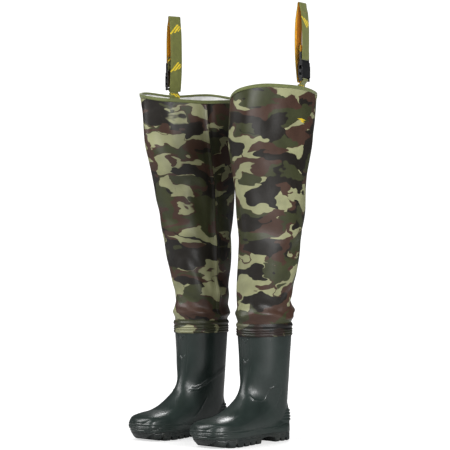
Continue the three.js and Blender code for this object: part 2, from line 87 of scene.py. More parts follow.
# Rows of a table read off at places 0 to 1 by the cubic through four neighbouring rows (Catmull-Rom).
def readTable(table, places):
    rows = np.asarray(table, float)
    at = np.clip(places, 0, 1) * (len(rows) - 1)
    low = np.clip(np.floor(at).astype(int), 0, len(rows) - 2)
    t = (at - low)[:, None]
    p0, p1 = rows[np.maximum(low - 1, 0)], rows[low]
    p2, p3 = rows[low + 1], rows[np.minimum(low + 2, len(rows) - 1)]
    start = 2 * p1 + (p2 - p0) * t + (2 * p0 - 5 * p1 + 4 * p2 - p3) * t**2
    return 0.5 * (start + (3 * p1 - p0 - 3 * p2 + p3) * t**3)


# Length from a line's first point to each of its points.
def runAlong(points):
    return np.concatenate([[0], np.cumsum(np.linalg.norm(np.diff(points, axis=0), axis=1))])


# The line's points at given lengths along it.
def pointsAt(points, run, at):
    return np.stack([np.interp(at, run, column) for column in points.T], -1)


# A surface through rings (rows x columns x 3) that close on themselves. loop joins the last ring to the
# first. Otherwise each end closes with a point: a pair of poles, or else the middle of its own ring. uv is
# rows x (columns + 1) x 2 and runs on over the join.
def ringMesh(name, rings, uv=None, loop=False, poles=None):
    rows, columns = rings.shape[:2]
    index = np.arange(rows * columns).reshape(rows, columns)
    after = (np.arange(columns) + 1) % columns
    low = index if loop else index[:-1]
    high = np.roll(index, -1, 0) if loop else index[1:]
    quads = np.stack([low, low[:, after], high[:, after], high], -1).reshape(-1, 4)
    points, caps = [rings.reshape(-1, 3)], []
    if not loop:
        points += [pole[None] for pole in poles or (rings[0].mean(0), rings[-1].mean(0))]
        tip = np.full(columns, rows * columns)
        caps.append(np.stack([index[0, after], index[0], tip], -1))
        caps.append(np.stack([index[-1], index[-1, after], tip + 1], -1))
    corners = np.concatenate([quads.ravel(), *[cap.ravel() for cap in caps]])
    sizes = np.concatenate([np.full(len(quads), 4), np.full(len(caps) * columns, 3)])
    mesh = meshFrom(name, np.concatenate(points), corners, sizes)
    if uv is not None:
        nextUv = np.roll(uv, -1, 0)
        flat = np.stack([uv[:, :-1], uv[:, 1:], nextUv[:, 1:], nextUv[:, :-1]], 2)
        flat = flat if loop else flat[:-1]
        flat = np.concatenate([flat.reshape(-1, 2), np.zeros((len(caps) * columns * 3, 2))])
        layer = mesh.uv_layers.new(name="cloth")
        layer.data.foreach_set("uv", flat.astype(np.float32).ravel())
    return mesh


def meshFrom(name, points, corners, sizes):
    mesh = bpy.data.meshes.new(name)
    mesh.vertices.add(len(points))
    mesh.vertices.foreach_set("co", points.astype(np.float32).ravel())
    mesh.loops.add(len(corners))
    mesh.loops.foreach_set("vertex_index", corners.astype(np.int32))
    mesh.polygons.add(len(sizes))
    mesh.polygons.foreach_set("loop_start", np.concatenate([[0], np.cumsum(sizes)[:-1]]).astype(np.int32))
    mesh.polygons.foreach_set("loop_total", sizes.astype(np.int32))
    mesh.update(calc_edges=True)
    mesh.validate()
    return mesh


# Six times a closed surface's volume is the sum of a . (b x c) over its triangles: below nought, it is
# inside out.
def insideOut(mesh):
    mesh.calc_loop_triangles()
    points = np.empty(len(mesh.vertices) * 3, np.float32)
    mesh.vertices.foreach_get("co", points)
    triangles = np.empty(len(mesh.loop_triangles) * 3, np.int32)
    mesh.loop_triangles.foreach_get("vertices", triangles)
    a, b, c = points.reshape(-1, 3).astype(float)[triangles.reshape(-1, 3)].transpose(1, 0, 2)
    return np.einsum("ij,ij->", a, np.cross(b, c)) < 0


# Puts rings in the scene as a piece of one wader. It rides on its body and stands for its CAD nodes.
def addPiece(name, rings, material, side, body, nodes, slot, **shape):
    mesh = ringMesh(name, rings, **shape)
    if insideOut(mesh):
        mesh.flip_normals()
    mesh.polygons.foreach_set("use_smooth", np.ones(len(mesh.polygons), bool))
    mesh.materials.append(material)
    piece = bpy.data.objects.new(f"{side}_{name}", mesh)
    bpy.context.scene.collection.objects.link(piece)
    if body:
        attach(piece, f"{side}_{body}")
    if nodes:
        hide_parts(*[f"{side}_{node}" for node in nodes])
    return piece


# Gives a CAD node that stays in view its own material.
def wearMaterial(side, node, material):
    slots = frame["nodes"][f"{side}_{node}"].data.materials
    slots.clear()
    slots.append(material)


# Local points to the pair's frame: x is mirrored for the right wader, and both are moved to their places.
def placed(points, side):
    return points * [sides[side], 1, 1] + [sides[side] * bootMiddle, pairBack, 0]


# A node group whose first input is Place. values holds its other inputs, floats or vectors by name.
def newGroup(name, values, outputs):
    group = bpy.data.node_groups.new(name, "ShaderNodeTree")
    group.interface.new_socket("Place", in_out="INPUT", socket_type="NodeSocketVector")
    for label, value in values.items():
        kind = "NodeSocketFloat" if isinstance(value, float) else "NodeSocketVector"
        group.interface.new_socket(label, in_out="INPUT", socket_type=kind).default_value = value
    for label in outputs:
        kind = "NodeSocketColor" if label == "Colour" else "NodeSocketFloat"
        group.interface.new_socket(label, in_out="OUTPUT", socket_type=kind)
    return group, Wiring(group), group.nodes.new("NodeGroupInput").outputs


# Adds nodes to a tree and joins them. An input given as another node's output is joined to it, and any
# other input is set.
class Wiring:
    def __init__(self, tree):
        self.tree = tree

    def link(self, start, end):
        self.tree.links.new(start, end)

    def feed(self, made, values):
        for key, value in values.items():
            if isinstance(value, bpy.types.NodeSocket):
                self.link(value, made.inputs[key])
            else:
                made.inputs[key].default_value = value

    def node(self, kind, *inputs, out=0, named=None, **settings):
        made = self.tree.nodes.new(kind)
        for key, value in settings.items():
            setattr(made, key, value)
        self.feed(made, {**dict(enumerate(inputs)), **(named or {})})
        return made.outputs[out] if len(made.outputs) else made

    def math(self, operation, *inputs):
        return self.node("ShaderNodeMath", *inputs, operation=operation)

    def plus(self, a, b):
        return self.math("ADD", a, b)

    def minus(self, a, b):
        return self.math("SUBTRACT", a, b)

    def times(self, a, b):
        return self.math("MULTIPLY", a, b)

    def over(self, a, b):
        return self.math("DIVIDE", a, b)

    def unsigned(self, value):
        return self.math("ABSOLUTE", value)

    def vector(self, operation, *inputs):
        return self.node("ShaderNodeVectorMath", *inputs, operation=operation)

    def split(self, place):
        made = self.tree.nodes.new("ShaderNodeSeparateXYZ")
        self.link(place, made.inputs[0])
        return made.outputs

    def noise(self, place, scale, detail=2.0, rough=0.5, distort=0.0, out=0):
        named = {"Vector": place, "Scale": scale, "Detail": detail, "Roughness": rough}
        return self.node("ShaderNodeTexNoise", named={**named, "Distortion": distort}, out=out)

    # 0 below the edge and 1 above it, eased over soft on either side
    def above(self, value, edge, soft):
        named = {0: value, 1: edge - soft, 2: edge + soft, 3: 0.0, 4: 1.0}
        return self.node("ShaderNodeMapRange", named=named, interpolation_type="SMOOTHSTEP")

    # value between a and b becomes c to d, held at both ends
    def ramp(self, value, a, b, c, d):
        return self.node("ShaderNodeMapRange", named={0: value, 1: a, 2: b, 3: c, 4: d})

    def mix(self, share, a, b):
        return self.node("ShaderNodeMix", named={0: share, 6: a, 7: b}, out=2, data_type="RGBA")

    def use(self, group, **inputs):
        made = self.tree.nodes.new("ShaderNodeGroup")
        made.node_tree = group
        self.feed(made, inputs)
        return made.outputs

    def bump(self, shader, strength, distance, height):
        named = {"Strength": strength, "Distance": distance, "Height": height}
        self.link(self.node("ShaderNodeBump", named=named), shader["Normal"])


# A display colour, 0 to 255, in linear light: ((c + 0.055) / 1.055) ^ 2.4, or c / 12.92 near black.
def srgb(*levels):
    return tuple(((c / 255 + 0.055) / 1.055) ** 2.4 if c > 10 else c / 255 / 12.92 for c in levels) + (1.0,)


def newMaterial(name, **shader):
    material = bpy.data.materials.new(name)
    material.use_nodes = True
    material.node_tree.nodes.clear()
    wiring = Wiring(material.node_tree)
    principled = material.node_tree.nodes.new("ShaderNodeBsdfPrincipled")
    for key, value in shader.items():
        principled.inputs[key.replace("_", " ")].default_value = value
    output = material.node_tree.nodes.new("ShaderNodeOutputMaterial")
    wiring.link(principled.outputs[0], output.inputs[0])
    return material, wiring, principled.inputs


def objectPlace(wiring):
    return wiring.node("ShaderNodeTexCoord", out=3)


def clothPlace(wiring):
    return wiring.node("ShaderNodeUVMap", uv_map="cloth")


# Cloth place for pieces without a cloth map: u = x + y, v = z + 0.6 y, so that floors and walls both show
# threads.
def wallPlace(wiring):
    x, y, z = wiring.split(objectPlace(wiring))
    return wiring.node("ShaderNodeCombineXYZ", wiring.plus(x, y), wiring.plus(z, wiring.times(y, 0.6)))


camouflage = {
    "khaki": srgb(150, 151, 114),
    "olive": srgb(57, 60, 36),
    "brown": srgb(68, 47, 37),
    "dark": srgb(27, 23, 18),
    "stretch": (1.0, 1.9, 1.0),  # blobs lie along the cloth's width
    "size": 10.0,  # blobs per metre
    # how far edges wander, and how finely: noise scale, metres across and along
    "wander": [(11.0, (0.12, 0.12, 0.0)), (38.0, (0.034, 0.03, 0.0))],
    # from the bottom up, each ink's place in the noise, its edge (lower covers more) and its scale
    "layers": [
        ("brown", (1.3, 4.1, 0.0), 0.456, 1.0), ("olive", (1.3, 4.1, 0.0), 0.478, 1.0),
        ("brown", (7.7, 2.9, 3.0), 0.535, 0.9), ("brown", (4.9, 7.4, 6.0), 0.552, 0.85),
        ("khaki", (4.9, 7.4, 6.0), 0.574, 0.85), ("dark", (5.2, 8.3, 9.0), 0.545, 1.0),
        ("olive", (3.1, 9.2, 5.0), 0.63, 1.25), ("brown", (6.6, 1.7, 8.0), 0.64, 1.3),
    ],
    "label": srgb(214, 184, 40),
    # middle, half length and height
    "labelStrokes": [(0.0195, 0.774, 0.017, 0.0028), (0.0235, 0.769, 0.01, 0.002)],
}


# Four-colour print. Each ink over the first shows where its own noise, read at a warped place, is high:
# place' = place * stretch + the sum of wander * (noise - 0.5), shown = noise(place' + offset) > edge.
def makeCamouflage(values):
    group, w, given = newGroup("camouflagePrint", {"Offset": (0, 0, 0)}, ["Colour", "Shade"])
    flat = w.vector("MULTIPLY", w.vector("ADD", given[0], given[1]), values["stretch"])
    place = flat
    for scale, far in values["wander"]:
        drift = w.vector("SUBTRACT", w.noise(flat, scale, 1.0, out=1), (0.5, 0.5, 0.5))
        place = w.vector("ADD", place, w.vector("MULTIPLY", drift, far))
    colour = values["khaki"]
    for ink, offset, edge, scale in values["layers"]:
        field = w.noise(w.vector("ADD", place, offset), values["size"] * scale, 0.4, 0.4, 0.5)
        colour = w.mix(w.above(field, edge, 0.004), colour, values[ink])
    w.node("NodeGroupOutput", colour, w.noise(given[0], 22.0, 4.0, 0.62))
    return group


# Woven or knitted cloth: height = the greater of 0.9 |sin(pi u)| and |sin(pi v)|, gap = 1 - their product.
def makeWeave():
    group, w, given = newGroup("threadWeave", {"Threads": 900.0, "Ribs": 1.0}, ["Height", "Gap"])
    split = w.split(given[0])
    across = w.times(split[0], given[1])
    along = w.times(w.times(split[1], given[1]), given[2])
    waveU, waveV = [w.unsigned(w.math("SINE", w.times(turn, math.pi))) for turn in (across, along)]
    height = w.math("MAXIMUM", w.times(waveU, 0.9), waveV)
    w.node("NodeGroupOutput", height, w.minus(1.0, w.times(waveU, waveV)))
    return group


# Moulded rubber or plastic: slow mottling, fine pitting, and dust that gathers low down.
def makeMoulded():
    values = {"Mottle": 14.0, "Pits": 900.0}
    group, w, given = newGroup("mouldedSurface", values, ["Mottling", "Pitting", "Dust"])
    mottling = w.noise(given[0], given[1], 4.0, 0.6)
    pitting = w.noise(given[0], given[2], 2.0, 0.6)
    low = w.ramp(w.split(given[0])[2], 0.0, 0.05, 1.0, 0.0)
    dust = w.times(low, w.above(w.noise(given[0], 45.0, 5.0, 0.65), 0.52, 0.14))
    w.node("NodeGroupOutput", mottling, pitting, dust)
    return group


# A row of stitches along u at a set v: seen where |v - row| < half and |share of the pitch - 0.5| < 0.31.
def makeStitches():
    values = {"Row": 0.0, "Pitch": 0.0034, "Half": 0.0005}
    group, w, given = newGroup("stitchRow", values, ["Thread", "Pull"])
    split = w.split(given[0])
    off = w.over(w.unsigned(w.minus(split[1], given[1])), given[3])
    share = w.math("FRACT", w.over(split[0], given[2]))
    along = w.minus(1.0, w.above(w.unsigned(w.minus(share, 0.5)), 0.31, 0.06))
    thread = w.times(along, w.minus(1.0, w.above(off, 1.0, 0.25)))
    w.node("NodeGroupOutput", thread, w.ramp(off, 1.0, 4.0, 1.0, 0.0))
    return group


camouflageGroup = makeCamouflage(camouflage)
stitchGroup = makeStitches()
weaveGroup = makeWeave()
mouldedGroup = makeMoulded()


coated = {
    "blotches": (0.3, 0.75),  # range of the print's slow shade that counts
    "tone": (0.76, 1.1),
    "rough": (0.36, 0.5),
    "threads": 1400.0,  # per metre
    "threadHeight": 0.035,
    "rumple": 24.0,  # per metre
    "rumpleHeight": 0.9,
}


# Coated camouflage cloth: the print under a thin clear skin, with a fine grain and a slow rumple.
def makeCoatedCloth(name, offset, tone=1.0, labelled=False):
    material, w, shader = newMaterial(
        name, Roughness=0.42, Coat_Weight=0.27, Coat_Roughness=0.44, Specular_IOR_Level=0.3
    )
    place = clothPlace(w)
    prints = w.use(camouflageGroup, Place=place, Offset=offset)
    colour = prints["Colour"]
    if labelled:
        split = w.split(place)
        for across, height, half, tall in camouflage["labelStrokes"]:
            du = w.over(w.minus(split[0], across), half)
            dv = w.over(w.minus(split[1], height), tall)
            leaf = w.plus(w.unsigned(du), w.unsigned(w.plus(dv, w.times(du, 0.6))))
            colour = w.mix(w.above(leaf, 1.0, 0.05), camouflage["label"], colour)
    shade = w.ramp(prints["Shade"], *coated["blotches"], *coated["tone"])
    w.link(w.vector("MULTIPLY", colour, w.times(shade, tone)), shader["Base Color"])
    w.link(w.ramp(prints["Shade"], *coated["blotches"], *coated["rough"]), shader["Roughness"])
    weave = w.use(weaveGroup, Place=place, Threads=coated["threads"])
    rumple = w.times(w.noise(place, coated["rumple"], 3.0, 0.55, 0.4), coated["rumpleHeight"])
    w.bump(shader, 0.35, 0.004, w.plus(rumple, w.times(weave["Height"], coated["threadHeight"])))
    return material


# Moulded rubber or nylon of one colour, dusty low down, with fine pits.
def makeRubber(name, base, dusty, rough, pits):
    material, w, shader = newMaterial(name, Coat_Weight=0.12, Coat_Roughness=0.2, Specular_IOR_Level=0.5)
    place = objectPlace(w)
    surface = w.use(mouldedGroup, Place=place, Mottle=16.0, Pits=pits)
    shade = w.ramp(surface["Mottling"], 0.3, 0.7, 0.85, 1.15)
    tinted = w.vector("MULTIPLY", base[:3], shade)
    dust = w.times(surface["Dust"], dusty)
    w.link(w.mix(dust, tinted, srgb(120, 116, 104)), shader["Base Color"])
    gloss = w.ramp(surface["Mottling"], 0.3, 0.75, rough - 0.05, rough + 0.09)
    w.link(w.plus(gloss, w.times(dust, 0.3)), shader["Roughness"])
    w.bump(shader, 0.12, 0.0004, surface["Pitting"])
    return material


# Woven cloth's worn colour: faded in blotches, darker in the gaps between threads. Gives its fade too.
def wornColour(w, place, weave, colour, blotches, tones, gap):
    fade = w.noise(place, blotches, 3.0, 0.6)
    shade = w.ramp(fade, 0.3, 0.7, *tones)
    dark = w.ramp(weave["Gap"], 0.3, 1.0, 1.0, gap)
    return w.vector("MULTIPLY", colour, w.times(shade, dark)), fade


# Cloth with a visible weave, in one colour, with rows of stitching.
def makeWoven(name, base, threads, ribs, rough, depth, rows=(), thread=None, mapped=clothPlace):
    material, w, shader = newMaterial(name, Specular_IOR_Level=0.3, Sheen_Weight=0.25, Sheen_Roughness=0.5)
    place = mapped(w)
    weave = w.use(weaveGroup, Place=place, Threads=threads, Ribs=ribs)
    colour, fade = wornColour(w, place, weave, base[:3], 60.0, (0.85, 1.12), 0.62)
    height = w.times(weave["Height"], depth)
    for row in rows:
        stitch = w.use(stitchGroup, Place=place, Row=row)
        colour = w.mix(stitch["Thread"], colour, thread)
        height = w.plus(height, w.times(stitch["Thread"], 0.0004))
        height = w.minus(height, w.times(stitch["Pull"], 0.0003))
    w.link(colour, shader["Base Color"])
    w.link(w.ramp(fade, 0.0, 1.0, rough - 0.08, rough + 0.08), shader["Roughness"])
    w.bump(shader, 0.6, 1.0, height)
    return material


strapColours = {
    "olive": srgb(112, 116, 58),
    "gold": srgb(224, 164, 26),
    "mark": srgb(236, 208, 44),
    "pitch": 0.096,  # between two marks along the webbing
    "first": 0.062,  # from the webbing's start to a mark
    # place, half width, half height
    "strokes": [(0.0052, 0.0026, 0.013), (-0.003, 0.003, 0.009), (-0.0105, 0.0018, 0.005)],
}


# Belt webbing. The cloth map's u runs 0 to 1 over the inner face and 1 to 2 over the outer one, v is metres
# along it. Outer face: olive with slanted strokes, |u' - place + 0.9 v'| < half width within |v'| < half
# height. Inner face: gold.
def makeWebbing(name, values, width):
    material, w, shader = newMaterial(name, Specular_IOR_Level=0.3, Sheen_Weight=0.3, Sheen_Roughness=0.45)
    place = clothPlace(w)
    split = w.split(place)
    inner = w.math("LESS_THAN", split[0], 1.0)
    acrossMetres = w.times(w.math("FRACT", split[0], 0.0), width)
    metres = w.node("ShaderNodeCombineXYZ", acrossMetres, split[1])
    weave = w.use(weaveGroup, Place=metres, Threads=620.0, Ribs=0.75)
    reach = values["pitch"] / 2
    step = w.math("WRAP", w.minus(split[1], values["first"]), reach, -reach)
    sway = w.times(step, 0.9)
    centre = w.minus(acrossMetres, width / 2)
    mark = 0.0
    for across, half, tall in values["strokes"]:
        off = w.unsigned(w.plus(w.minus(centre, across), sway))
        stroke = w.minus(1.0, w.above(off, half, 0.0004))
        length = w.minus(1.0, w.above(w.unsigned(step), tall, 0.0005))
        mark = w.math("MAXIMUM", mark, w.times(stroke, length))
    colour = w.mix(inner, w.mix(mark, values["olive"], values["mark"]), values["gold"])
    colour, fade = wornColour(w, metres, weave, colour, 70.0, (0.86, 1.12), 0.6)
    w.link(colour, shader["Base Color"])
    w.link(w.ramp(fade, 0.0, 1.0, 0.62, 0.82), shader["Roughness"])
    w.bump(shader, 0.6, 0.0005, weave["Height"])
    return material


webbingWidth = 0.034
rubberGreen = makeRubber("bootRubber", srgb(31, 41, 38), 0.05, 0.34, 700.0)
soleRubber = makeRubber("soleRubber", srgb(27, 34, 33), 0.1, 0.42, 500.0)
blackPlastic = makeRubber("buckleNylon", srgb(22, 23, 25), 0.0, 0.38, 1500.0)
legCloth = {
    "left": makeCoatedCloth("coatedCamouflage", (0.0, 0.0, 0.0), labelled=True),
    "right": makeCoatedCloth("coatedCamouflageRight", (0.37, 0.11, 0.0), labelled=True),
}
bandCloth = {
    "left": makeCoatedCloth("bandCamouflage", (0.62, 0.12, 0.0), tone=0.32),
    "right": makeCoatedCloth("bandCamouflageRight", (0.62, 0.15, 0.0), tone=0.8),
}
tapeThread = srgb(84, 90, 48)
bindingTape = makeWoven("bindingTape", srgb(112, 119, 70), 900.0, 1.0, 0.7, 0.0003, (0.0058,), tapeThread)
liningKnit = makeWoven("liningKnit", srgb(246, 246, 243), 700.0, 1.3, 0.85, 0.0003)
bootKnit = makeWoven("bootLiningKnit", srgb(236, 236, 232), 700.0, 1.3, 0.85, 0.0003, mapped=wallPlace)
insoleFelt = makeWoven("insoleFelt", srgb(70, 72, 74), 500.0, 0.8, 0.9, 0.0004, mapped=wallPlace)
webbing = makeWebbing("hipWebbing", strapColours, webbingWidth)
print("materials made")


view = {
    "turn": 43.5,  # degrees round from straight in front
    "distance": 4.499,
    "height": 0.5256,
    "tilt": 0.4,  # degrees downwards
    "lens": 147.3,
    "shiftX": 0.0114,
    "shiftY": 0.0253,
}


def addCamera(values):
    data = bpy.data.cameras.new("camera")
    data.lens = values["lens"]
    data.sensor_width = 36.0
    data.shift_x = values["shiftX"]
    data.shift_y = values["shiftY"]
    data.clip_end = 60.0
    camera = bpy.data.objects.new("camera", data)
    bpy.context.scene.collection.objects.link(camera)
    turn = math.radians(values["turn"])
    away = values["distance"]
    camera.location = (math.sin(turn) * away, -math.cos(turn) * away, values["height"])
    camera.rotation_euler = (math.radians(90 - values["tilt"]), 0, turn)
    bpy.context.scene.camera = camera


def addLight(name, place, towards, size, power):
    data = bpy.data.lights.new(name, "AREA")
    data.shape = "RECTANGLE"
    data.size, data.size_y = size
    data.energy = power
    light = bpy.data.objects.new(name, data)
    bpy.context.scene.collection.objects.link(light)
    light.location = place
    light.visible_camera = False
    back = np.array(place) - np.array(towards)
    tilt = math.atan2(math.hypot(back[0], back[1]), back[2])
    light.rotation_euler = (tilt, 0, math.atan2(back[0], -back[1]))


studio = {
    "skyLight": 0.07,
    "skySeen": 1.2,
    "floorTone": 0.5,
    "glowReach": (0.35, 0.85),  # metres from the pair's middle
    "floorGlow": (0.58, 0.85),  # at those two distances
    "floorReach": 2.7,
    # name, place, what it faces, size, power
    "boxes": [
        ("keySoftbox", (-2.4, -2.8, 2.7), (0, 0, 0.55), (1.2, 2.5), 86),
        ("frontSoftbox", (2.5, -1.55, 1.35), (0, 0, 0.3), (0.9, 1.1), 24),
        ("sideSoftbox", (3.3, -0.4, 1.5), (0.1, 0, 0.6), (0.6, 2.0), 92),
        ("topSoftbox", (-0.55, -1.8, 2.45), (0, 0, 0.25), (0.6, 2.6), 46),
        ("backSoftbox", (-1.6, 2.6, 2.2), (0, 0, 0.6), (1.0, 1.6), 50),
    ],
}


# A white floor that runs off into a white surround, seen by the camera brighter than it lights the object.
def addStudio():
    material, w, shader = newMaterial(
        "paleFloor", Roughness=0.6, Specular_IOR_Level=0.2, Emission_Color=(1, 1, 1, 1)
    )
    grain = w.noise(objectPlace(w), 3.0, 3.0, 0.5)
    tone = w.ramp(grain, 0.0, 1.0, 0.97, 1.0)
    w.link(w.vector("MULTIPLY", (studio["floorTone"],) * 3, tone), shader["Base Color"])
    away = w.node("ShaderNodeVectorMath", objectPlace(w), operation="LENGTH", out=1)
    glow = w.ramp(away, *studio["glowReach"], *studio["floorGlow"])
    w.link(w.times(w.node("ShaderNodeLightPath"), glow), shader["Emission Strength"])
    reach = studio["floorReach"]
    points = np.array([[-reach, -reach, 0], [reach, -reach, 0], [reach, reach, 0], [-reach, reach, 0]])
    mesh = meshFrom("floor", points, np.arange(4), np.array([4]))
    mesh.materials.append(material)
    floor = bpy.data.objects.new("floor", mesh)
    bpy.context.scene.collection.objects.link(floor)
    world = bpy.data.worlds.new("studio")
    world.use_nodes = True
    w = Wiring(world.node_tree)
    seen = w.times(w.node("ShaderNodeLightPath"), studio["skySeen"] - studio["skyLight"])
    background = world.node_tree.nodes["Background"]
    w.feed(background, {0: (1, 1, 1, 1), 1: w.plus(seen, studio["skyLight"])})
    bpy.context.scene.world = world
    for box in studio["boxes"]:
        addLight(*box)
    bpy.context.scene.view_settings.view_transform = "Standard"


addCamera(view)
addStudio()
print("camera, floor and light placed")


boot = {
    "length": 0.295,
    "heelReach": 0.07,
    "width": 0.107,
    "soleHeight": 0.024,
    "instepHeight": 0.111,
    "shaftHeight": 0.262,
    "halfDepth": 0.0705,
    "halfWidth": 0.06,
    "wall": 0.0032,
    "liningGap": 0.0004,
    "knit": 0.0014,
    # stretches from the toe's tip to the shaft's mouth, and the rows in each
    "stretches": (0, 0.06, 0.16, 0.56, 0.7, 1.0),
    "rows": (24, 62, 68, 62, 54),
    "columns": 304,
    "liningRows": 110,
    "liningColumns": 150,
    "weltHeight": 0.036,  # top of the raised band above the sole
}
toeReach = boot["length"] - boot["heelReach"]
pairBack = soleLow[1] + toeReach


# Height shares: foot runs from the sole to the instep's bend, shaft from there to the top edge.
def footZ(share):
    return boot["soleHeight"] + (boot["instepHeight"] - boot["soleHeight"]) * share


def shaftZ(share):
    return boot["instepHeight"] + (boot["shaftHeight"] - boot["instepHeight"]) * share


# Each row: front y and z, back y and z, half width, outward shift, squareness of the front and back halves.
def bootTable():
    t, h, w, d = toeReach, boot["heelReach"], boot["width"], boot["halfDepth"]
    b = boot["halfWidth"]
    return [
        [-0.997 * t, footZ(0.135), -0.997 * t, footZ(0.1), 0.02 * w, -0.06 * w, 2.2, 2.2],
        [-0.988 * t, footZ(0.235), -0.985 * t, footZ(0.02), 0.19 * w, -0.05 * w, 2.3, 2.6],
        [-0.95 * t, footZ(0.375), -0.965 * t, footZ(0.0), 0.35 * w, -0.03 * w, 2.3, 3.0],
        [-0.875 * t, footZ(0.455), -0.89 * t, footZ(0.0), 0.44 * w, 0.0, 2.3, 3.4],
        [-0.77 * t, footZ(0.495), -0.76 * t, footZ(0.0), 0.485 * w, 0.015 * w, 2.25, 3.8],
        [-0.65 * t, footZ(0.55), -0.6 * t, footZ(0.0), 0.485 * w, 0.02 * w, 2.2, 3.8],
        [-0.54 * t, footZ(0.685), -0.4 * t, footZ(0.0), 0.445 * w, 0.02 * w, 2.15, 3.4],
        [-0.45 * t, footZ(0.885), -0.18 * t, footZ(0.0), 0.4 * w, 0.02 * w, 2.1, 3.0],
        [-0.383 * t, shaftZ(0.03), 0.05 * h, footZ(0.0), 0.375 * w, 0.01 * w, 2.1, 2.8],
        [-0.351 * t, shaftZ(0.14), 0.7 * h, footZ(0.03), 0.36 * w, 0.0, 2.0, 2.4],
        [-0.33 * t, shaftZ(0.24), 0.94 * h, footZ(0.25), 0.38 * w, 0.0, 2.0, 2.1],
        [-0.316 * t, shaftZ(0.345), 0.93 * h, footZ(0.62), 0.78 * b, 0.0, 2.0, 2.0],
        [-0.306 * t, shaftZ(0.45), 0.91 * h, shaftZ(0.02), 0.88 * b, 0.0, 2.0, 2.0],
        [-0.95 * d, shaftZ(0.6), 0.92 * d, shaftZ(0.3), 0.94 * b, 0.0, 2.0, 2.0],
        [-0.97 * d, shaftZ(0.78), 0.96 * d, shaftZ(0.62), 0.97 * b, 0.0, 2.0, 2.0],
        [-d, shaftZ(0.92), d, shaftZ(0.88), 0.995 * b, 0.0, 2.0, 2.0],
        [-d, boot["shaftHeight"], d, boot["shaftHeight"], b, 0.0, 2.0, 2.0],
    ]


# Sections fan round from the toe to the shaft's mouth. On each, with c and s the cosine and sine of the
# angle: along = sign(c) |c|^(2/n) (reach - inset), across = sign(s) |s|^(2/n) (half width - inset).
def bootSurface(places, columns, inset):
    even = np.linspace(0, 1, 601)
    table = readTable(bootTable(), even)
    weights = np.hanning(61) / np.hanning(61).sum()
    padded = np.pad(table, ((30, 30), (0, 0)), mode="edge")
    smooth = np.stack([np.convolve(column, weights, mode="valid") for column in padded.T], -1)
    keep = (ease(even, 0.3, 0.42) * (1 - ease(even, 0.8, 0.9)))[:, None]
    table = table + (smooth - table) * keep
    front = np.stack([np.interp(places, even, column) for column in table.T], -1)
    angles = np.arange(columns) / columns * tau
    c, s = np.cos(angles)[None], np.sin(angles)[None]
    frontPoint = np.stack([0 * front[:, 0], front[:, 0], front[:, 1]], -1)
    backPoint = np.stack([0 * front[:, 0], front[:, 2], front[:, 3]], -1)
    middle = (frontPoint + backPoint) / 2
    reach = frontPoint - middle
    length = np.linalg.norm(reach, axis=1)
    power = 2 / np.where(c < 0, front[:, 7:8], front[:, 6:7])
    along = np.sign(c) * np.abs(c) ** power * np.maximum(length - inset, 0.0005)[:, None]
    across = np.sign(s) * np.abs(s) ** power * np.maximum(front[:, 4] - inset, 0.0005)[:, None]
    points = middle[:, None] + (reach / length[:, None])[:, None] * along[..., None]
    points[..., 0] += front[:, 5:6] + across
    points[..., 1] += inset * np.clip(1 - 4 * places, 0, 1)[:, None]
    return points


# Outward unit normals of a grid of rings: the cross product of its steps along and around.
def gridNormals(points):
    around = np.roll(points, -1, 1) - np.roll(points, 1, 1)
    along = np.gradient(points, axis=0)
    normal = np.cross(around, along)
    normal /= np.maximum(np.linalg.norm(normal, axis=2, keepdims=True), 1e-9)
    outward = points - points.mean(1, keepdims=True)
    return normal * np.sign(np.einsum("ijk,ijk->", normal, outward))


# Distance from each (x, y) to a bent line, the least over its straight stretches.
def lineDistance(x, y, line):
    best = np.full(x.shape, 1e3)
    for (ax, ay), (bx, by) in zip(line[:-1], line[1:]):
        dx, dy = bx - ax, by - ay
        t = np.clip(((x - ax) * dx + (y - ay) * dy) / (dx * dx + dy * dy), 0, 1)
        best = np.minimum(best, np.hypot(x - ax - t * dx, y - ay - t * dy))
    return best


relief = {
    "welt": 0.0012,  # how far the band over the sole stands out
    # grooves and ribs round the toe: height, how far out, width
    "toeBands": [
        (0.0285, -0.0009, 0.0011), (0.0338, -0.0007, 0.0011),
        (0.0366, 0.0006, 0.0018), (0.0412, 0.0009, 0.0018),
    ],
    "capStep": 0.0006,  # toe cap over the vamp
    "lineWidth": 0.0013,
    "lineProud": 0.0015,
    # metres round the shaft from the side (0), towards the front below nought, and height
    "outerLines": [
        [
            (-0.082, 0.115), (-0.073, 0.105), (-0.058, 0.101), (-0.046, 0.105), (-0.039, 0.117),
            (-0.031, 0.13), (-0.018, 0.134), (-0.003, 0.134), (0.006, 0.127), (0.008, 0.112),
            (0.004, 0.095), (-0.003, 0.082),
        ],
    ],
    "innerLines": [
        [
            (-0.0755, 0.114), (-0.056, 0.117), (-0.0376, 0.1265), (-0.02, 0.138), (0.0, 0.149),
            (0.024, 0.1586), (0.04, 0.16),
        ],
        [
            (-0.07, 0.121), (-0.05, 0.126), (-0.034, 0.135), (-0.016, 0.146), (0.004, 0.157),
            (0.026, 0.166), (0.04, 0.168),
        ],
        [(-0.0287, 0.094), (-0.048, 0.07), (-0.064, 0.047)],
    ],
    "stripHalf": 0.0135,  # front strip's half width
    "stripEdge": 0.0012,
    "dashes": [(0.2425, 0.008), (0.193, 0.009)],  # height and slant
    "dashProud": 0.0016,
    "kickHalf": 0.03,  # kick-off ridges reach this far each side of the middle
    "kickPitch": 0.0072,
    "kickProud": 0.0028,
    "uneven": 0.0005,
}


